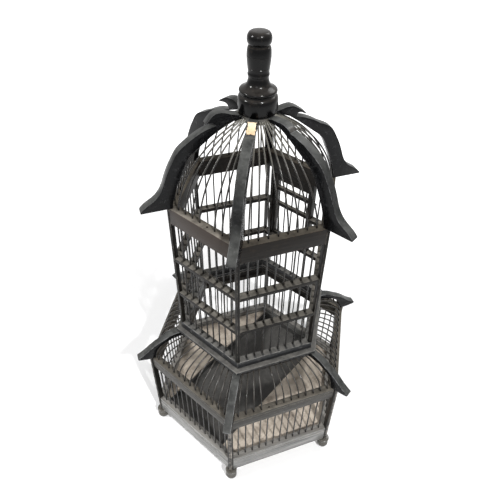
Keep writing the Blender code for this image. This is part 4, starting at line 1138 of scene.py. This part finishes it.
def make_feet():
    """A turned ball under a cushion, modelled once on the axis and copied to each corner."""
    start = math.asin(FOOT_FLAT / FOOT_RADIUS)
    end = math.pi - math.asin(FOOT_NECK / FOOT_RADIUS)
    lift = FOOT_RADIUS * math.cos(start)
    profile = [(0, 0.25 * MM), (FOOT_FLAT - 0.8 * MM, 0.25 * MM), (FOOT_FLAT - 0.3 * MM, 0)]
    ball_steps = 18
    for step in range(ball_steps + 1):
        angle = start + (end - start) * step / ball_steps
        profile.append((FOOT_RADIUS * math.sin(angle), lift - FOOT_RADIUS * math.cos(angle)))
    low, high = CUSHION
    profile += [(FOOT_NECK - 0.2 * MM, low - 1.2 * MM), (FOOT_NECK + 0.6 * MM, low - 0.1 * MM)]
    rim = (high - low) / 2
    cushion_steps = 8
    for step in range(cushion_steps + 1):
        angle = math.pi * step / cushion_steps
        out = CUSHION_RADIUS - rim * 0.7 + rim * 0.7 * math.sin(angle)
        profile.append((out, (low + high) / 2 - rim * math.cos(angle)))
    top = BOTTOM_RAIL_BASE - SEAM
    profile += [(FOOT_NECK, high + 0.1 * MM), (FOOT_NECK, top), (0, top)]
    ball = turn_profile(profile, 40, 40)
    ball.location.x = FOOT_CORNER_RADIUS
    settle(ball)
    for corner in range(len(CORNERS)):
        set_on_corner(ball, corner, "turned_foot_", foot_gloss, "ball_foot_")
    discard(ball)


# Floor and tray, in the front left face's own frame, turned to +X
INNER_RADIUS = LOWER_RADIUS - RAIL_DEPTH / COS30 - SEAM
CHANNEL = (MOUTH[0] + 1 * MM, MOUTH[1] - 1 * MM)
PLANK_JOINTS = (-150 * MM, 127 * MM)
PLANK_SEAM = 0.15 * MM


def floor_piece(radius, base, thickness, cuts=(None, None)):
    """A six-sided board, or the strip of it between two lines."""
    let_go()
    bpy.ops.mesh.primitive_circle_add(vertices=6, radius=radius, fill_type="NGON", location=(0, 0, base))
    edit(settle(bpy.context.object))
    for cut, away in zip(cuts, ({"clear_inner": True}, {"clear_outer": True})):
        if cut is not None:
            bpy.ops.mesh.select_all(action="SELECT")
            bpy.ops.mesh.bisect(plane_co=(0, cut, 0), plane_no=(0, 1, 0), **away)
    bpy.ops.mesh.select_all(action="SELECT")
    extrude((0, 0, thickness))
    return close_up()


def make_floor():
    """Two raised fields of two planks each, the dark board under them and the ledge that carries it."""
    left, right = PLANK_JOINTS
    strips = ((None, left - PLANK_SEAM), (left + PLANK_SEAM, CHANNEL[0]), (CHANNEL[1], right - PLANK_SEAM),
              (right + PLANK_SEAM, None))
    for number, cuts in enumerate(strips, 1):
        plank = finish_board(floor_piece(INNER_RADIUS, FLOOR_BASE, FLOOR_TOP - FLOOR_BASE, cuts), "x")
        set_once(plank, TRAY_FACE, f"floor_plank_{number}", floor_wood, "bare_board", ["floor_board"])
    bottom = finish_board(floor_piece(INNER_RADIUS - 1 * MM, FLOOR_BASE + 0.1 * MM, 3.8 * MM), "x", 0.4 * MM)
    dress(bottom, "floor_underboard", tray_paint, ["floor_board"])
    bore = INNER_RADIUS - 6 * MM
    top = FLOOR_BASE - SEAM
    make_ring(((INNER_RADIUS, BOTTOM_RAIL_BASE), (INNER_RADIUS, top), (bore, top), (bore, BOTTOM_RAIL_BASE)),
              "floor_ledge", bottom_rail_paint, "bottom_rail", width=0.4 * MM)


def make_tray():
    """A shallow box: a block whose top is inset and pushed down."""
    wall = 2.2 * MM
    clearance = 0.8 * MM
    out = LOWER_RADIUS * COS30
    tray = block((RAIL_DEPTH + clearance - out, CHANNEL[0] + clearance, TRAY_BASE),
                 (out - RAIL_DEPTH - SEAM, CHANNEL[1] - clearance, TRAY_TOP))
    edit(tray)
    pick_top()
    bpy.ops.mesh.inset(thickness=wall)
    extrude((0, 0, TRAY_BASE + wall - TRAY_TOP))
    close_up()
    set_once(finish_board(tray, "x"), TRAY_FACE, "tray_box", tray_paint, "tray_board", ["tray_pan"], "tray")


# Door, in the back right face's own frame, turned to +X. The hinges' heights and outlines are in millimetres
LINTEL_HEIGHT = 11.3 * MM
DOOR_FRONT = UPPER_OUT - 1.2 * MM
DOOR_NEAR = DOORWAY[0] + 0.3 * MM
HINGE_AXIS = Vector((UPPER_OUT + 1.5 * MM, DOORWAY[0] + 0.15 * MM, 0))
HINGE_HEIGHTS = (MID_RAIL_TOPS[0] / MM + 24.0, MID_RAIL_TOPS[1] / MM + 31.5)
PIN = ((0, -4.3), (1.5, -4.3), (1.8, -4.0), (1.8, -0.6), (1.5, -0.3), (1.0, -0.3), (1.0, 8.9), (0.6, 9.2),
       (0, 9.2))
BARREL = ((1.3, 0), (1.8, 0), (2.1, 0.3), (2.1, 7.7), (1.8, 8), (1.3, 8), (1.3, 0))
HINGE_SCREW = ((0, 0), (1.2, 0), (1.1, 0.35), (0.6, 0.6), (0, 0.65))
BUTTON_SCREW = ((0, -4.2), (1.1, -4.2), (1.1, 0), (2.4, 0), (2.4, 0.5), (1.9, 1.0), (1.0, 1.2), (0, 1.25))
IN_FRAME = ["upper_grille_back_right"]


def hang(pieces, name, paint, nodes, body="root"):
    """Joins pieces of the doorway or the door and turns them to the back right face."""
    set_once(join(pieces), DOOR_FACE, name, paint, "black_paint", nodes, body)


def lath(lowest, highest, along, rounding):
    """A squared and finished board, with its edges' rounding in millimetres."""
    return finish_board(block(lowest, highest), along, rounding * MM)


def turned_pin(outline, axis=Vector(), lift=0.0):
    pin = turn_profile([(radius * MM, (lift + height) * MM) for radius, height in outline], 20, 40)
    pin.location = axis
    return settle(pin)


def drive_in(screw, place):
    """Lays an upright screw down, to point inwards from its place."""
    screw.rotation_euler.y = math.radians(90)
    screw.location = place
    return settle(screw)


def make_doorway():
    """Jambs, lintel and hinge pins, which stay with the cage."""
    back = UPPER_OUT - MID_RAIL_DEPTH + 1.2 * MM
    base = MID_RAIL_TOPS[0] - 0.2 * MM
    top = TOP_RAIL_BASE
    parts = []
    for middle in JAMBS:
        parts.append(lath((back, middle - JAMB_HALF, base), (DOOR_FRONT, middle + JAMB_HALF, top), "z", 0.4))
    parts.append(lath((back + 0.6 * MM, DOORWAY[0] - MM, top - LINTEL_HEIGHT),
                      (DOOR_FRONT - 0.6 * MM, DOORWAY[1] + MM, top), "y", 0.4))
    hang(parts, "door_frame", post_paint, IN_FRAME)
    pins = []
    for height in HINGE_HEIGHTS:
        pins.append(turned_pin(PIN, HINGE_AXIS, height))
        pins.append(lath((UPPER_OUT - 1.5 * MM, DOORWAY[0] - 8 * MM, (height - 4.0) * MM),
                         (UPPER_OUT + 0.3 * MM, DOORWAY[0] - 0.3 * MM, (height - 0.6) * MM), "y", 0.2))
    hang(pins, "door_hinge_pins", hinge_metal, IN_FRAME)


def make_hinges():
    """The barrels on the door, each with a plate before and behind the stile and a screw."""
    parts = []
    for height in HINGE_HEIGHTS:
        parts.append(turned_pin(BARREL, HINGE_AXIS, height))
        low, high = (height + 0.3) * MM, (height + 7.7) * MM
        for back, front in ((UPPER_OUT, UPPER_OUT + 0.6 * MM), (DOOR_FRONT - 0.2 * MM, UPPER_OUT)):
            parts.append(lath((back, DOOR_NEAR + SEAM, low), (front, DOOR_NEAR + 10 * MM, high), "y", 0.2))
        place = (UPPER_OUT + 0.6 * MM, DOOR_NEAR + 6.5 * MM, (height + 4) * MM)
        parts.append(drive_in(turned_pin(HINGE_SCREW), place))
    hang(parts, "door_hinges", hinge_metal, ["door_leaf"], "door")


def make_door():
    """The leaf: two stiles, four bars and five rods, and its hinges."""
    back = DOOR_FRONT - 8 * MM
    far = DOORWAY[1] - 1.6 * MM
    base = MID_RAIL_TOPS[0] + 1.2 * MM
    top = TOP_RAIL_BASE - LINTEL_HEIGHT - 1.2 * MM
    stile = 7 * MM
    parts = []
    for start in (DOOR_NEAR, far - stile):
        parts.append(lath((back, start, base), (DOOR_FRONT, start + stile, top), "z", 0.5))
    bars = ((base, base + 7 * MM), (MID_RAIL_TOPS[1] - MID_RAIL_HEIGHT, MID_RAIL_TOPS[1]),
            (top - 37 * MM, top - 29 * MM), (top - 14 * MM, top))
    for low, high in bars:
        parts.append(lath((back + 0.6 * MM, DOOR_NEAR + stile - MM, low),
                          (DOOR_FRONT - 0.6 * MM, far - stile + MM, high), "y", 0.4))
    hang(parts, "door_frame_leaf", mid_rail_paint, ["door_leaf"], "door")
    paths = []
    for index in range(JAMB_RODS[0] + 1, JAMB_RODS[1]):
        foot = Vector(((DOOR_FRONT + back) / 2, index * ROD_PITCH - UPPER_ROD_RADIUS / 2, 0))
        paths.append(straight_path(foot, base + 3 * MM, top - 5 * MM))
    hang([draw_rods(paths, ROD)], "door_rods", rod_paint, ["door_leaf"], "door")
    make_hinges()


def make_button():
    """The turn button on the latch jamb, rounded at both ends, and its screw."""
    height = MID_RAIL_TOPS[1] - MID_RAIL_HEIGHT - 13.5 * MM
    half = 2.6 * MM
    reach = 10 * MM - half
    inner = UPPER_OUT - 0.9 * MM
    steps = 12
    points = []
    for end in (1, -1):
        for step in range(steps + 1):
            angle = math.pi * step / steps
            points.append(Vector((inner, JAMBS[1] + end * half * math.cos(angle),
                                  height + end * (reach + half * math.sin(angle)))))
    draw(points)
    extrude((3.6 * MM, 0, 0))
    button = finish_board(close_up(), "z", 0.6 * MM, 3)
    hang([button], "turn_button", post_paint, ["door_button"], "button")
    screw = turned_pin(BUTTON_SCREW)
    cut_with(screw, block((-4 * MM, -0.3 * MM, 0.8 * MM), (4 * MM, 0.3 * MM, 3 * MM)))
    smooth(drive_in(screw, (inner + 3.9 * MM, JAMBS[1], height)))
    hang([screw], "button_screw", hinge_metal, IN_FRAME)


make_lower_rails()
make_bottom_rails()
make_top_rails()
make_mid_rails()
make_rods()
make_posts()
make_ribs()
make_neck()
make_finial()
make_feet()
make_floor()
make_tray()
make_doorway()
make_door()
make_button()


# Table, light and camera


def seen_directly(tree):
    """1 for what the camera sees, straight or in gloss or through glass, and 0 for light thrown back."""
    path = node(tree, "ShaderNodeLightPath").outputs
    either = calculate(tree, "MAXIMUM", path["Is Camera Ray"], path["Is Glossy Ray"])
    return calculate(tree, "MAXIMUM", either, path["Is Transmission Ray"])


def make_table():
    """A white table top. It keeps the cage's shadow, and further off it is plain white."""
    let_go()
    bpy.ops.mesh.primitive_plane_add(size=16, location=(0, 0, 0))
    table = bpy.context.object
    table.name = "table"
    material, tree, shader = start_material("white_table")
    direct = seen_directly(tree)
    away = node(tree, "ShaderNodeVectorMath", {0: own_place(tree)}, operation="LENGTH").outputs["Value"]
    finish_material(tree, shader, {
        "Base Color": mix(tree, direct, (0.8, 0.8, 0.8, 1), (0.95, 0.95, 0.95, 1)),
        "Roughness": 0.7,
        "Specular IOR Level": 0.2,
        "Emission Color": (1, 1, 1, 1),
        "Emission Strength": times(tree, direct, spread(tree, away, 0.4, 1.5, 0.06, 0.75)),
    })
    table.data.materials.append(material)


def make_lamp(name, place, size, power):
    data = bpy.data.lights.new(name, "AREA")
    data.shape = "SQUARE"
    data.size = size
    data.energy = power
    lamp = bpy.data.objects.new(name, data)
    bpy.context.scene.collection.objects.link(lamp)
    lamp.location = place
    cage_middle = Vector((0, 0, 0.4))
    aim = cage_middle - Vector(place)
    lamp.rotation_euler = aim.to_track_quat("-Z", "Y").to_euler()


def make_world():
    world = bpy.data.worlds.new("studio")
    bpy.context.scene.world = world
    world.use_nodes = True
    tree = world.node_tree
    background = tree.nodes["Background"]
    background.inputs["Color"].default_value = (1, 1, 1, 1)
    feed(tree, background.inputs["Strength"], spread(tree, seen_directly(tree), 0.0, 1.0, 0.28, 1.0))


def make_camera():
    data = bpy.data.cameras.new("camera")
    data.sensor_width = 36
    data.lens = 33.87
    data.clip_end = 100
    camera = bpy.data.objects.new("camera", data)
    bpy.context.scene.collection.objects.link(camera)
    right = (0.98259, 0.18519, 0.01510)
    up = (-0.13516, 0.65666, 0.74198)
    back = (0.12749, -0.73110, 0.67025)
    place = Vector((0.10461, -0.64022, BOTTOM_RAIL_BASE + 1.02004))
    camera.matrix_world = Matrix.Translation(place) @ Matrix((right, up, back)).transposed().to_4x4()
    bpy.context.scene.camera = camera


make_table()
make_lamp("ceiling_light", (1.3, -1.7, 2.7), 0.12, 96)
make_lamp("window_light", (-2.1, -0.9, 2.0), 0.36, 50)
make_lamp("back_light", (1.1, 1.5, 2.3), 1.0, 20)
make_lamp("front_light", (-0.2, -2.3, 2.2), 0.8, 9)
make_world()
make_camera()
let_go()
bpy.context.scene.view_settings.view_transform = "Standard"
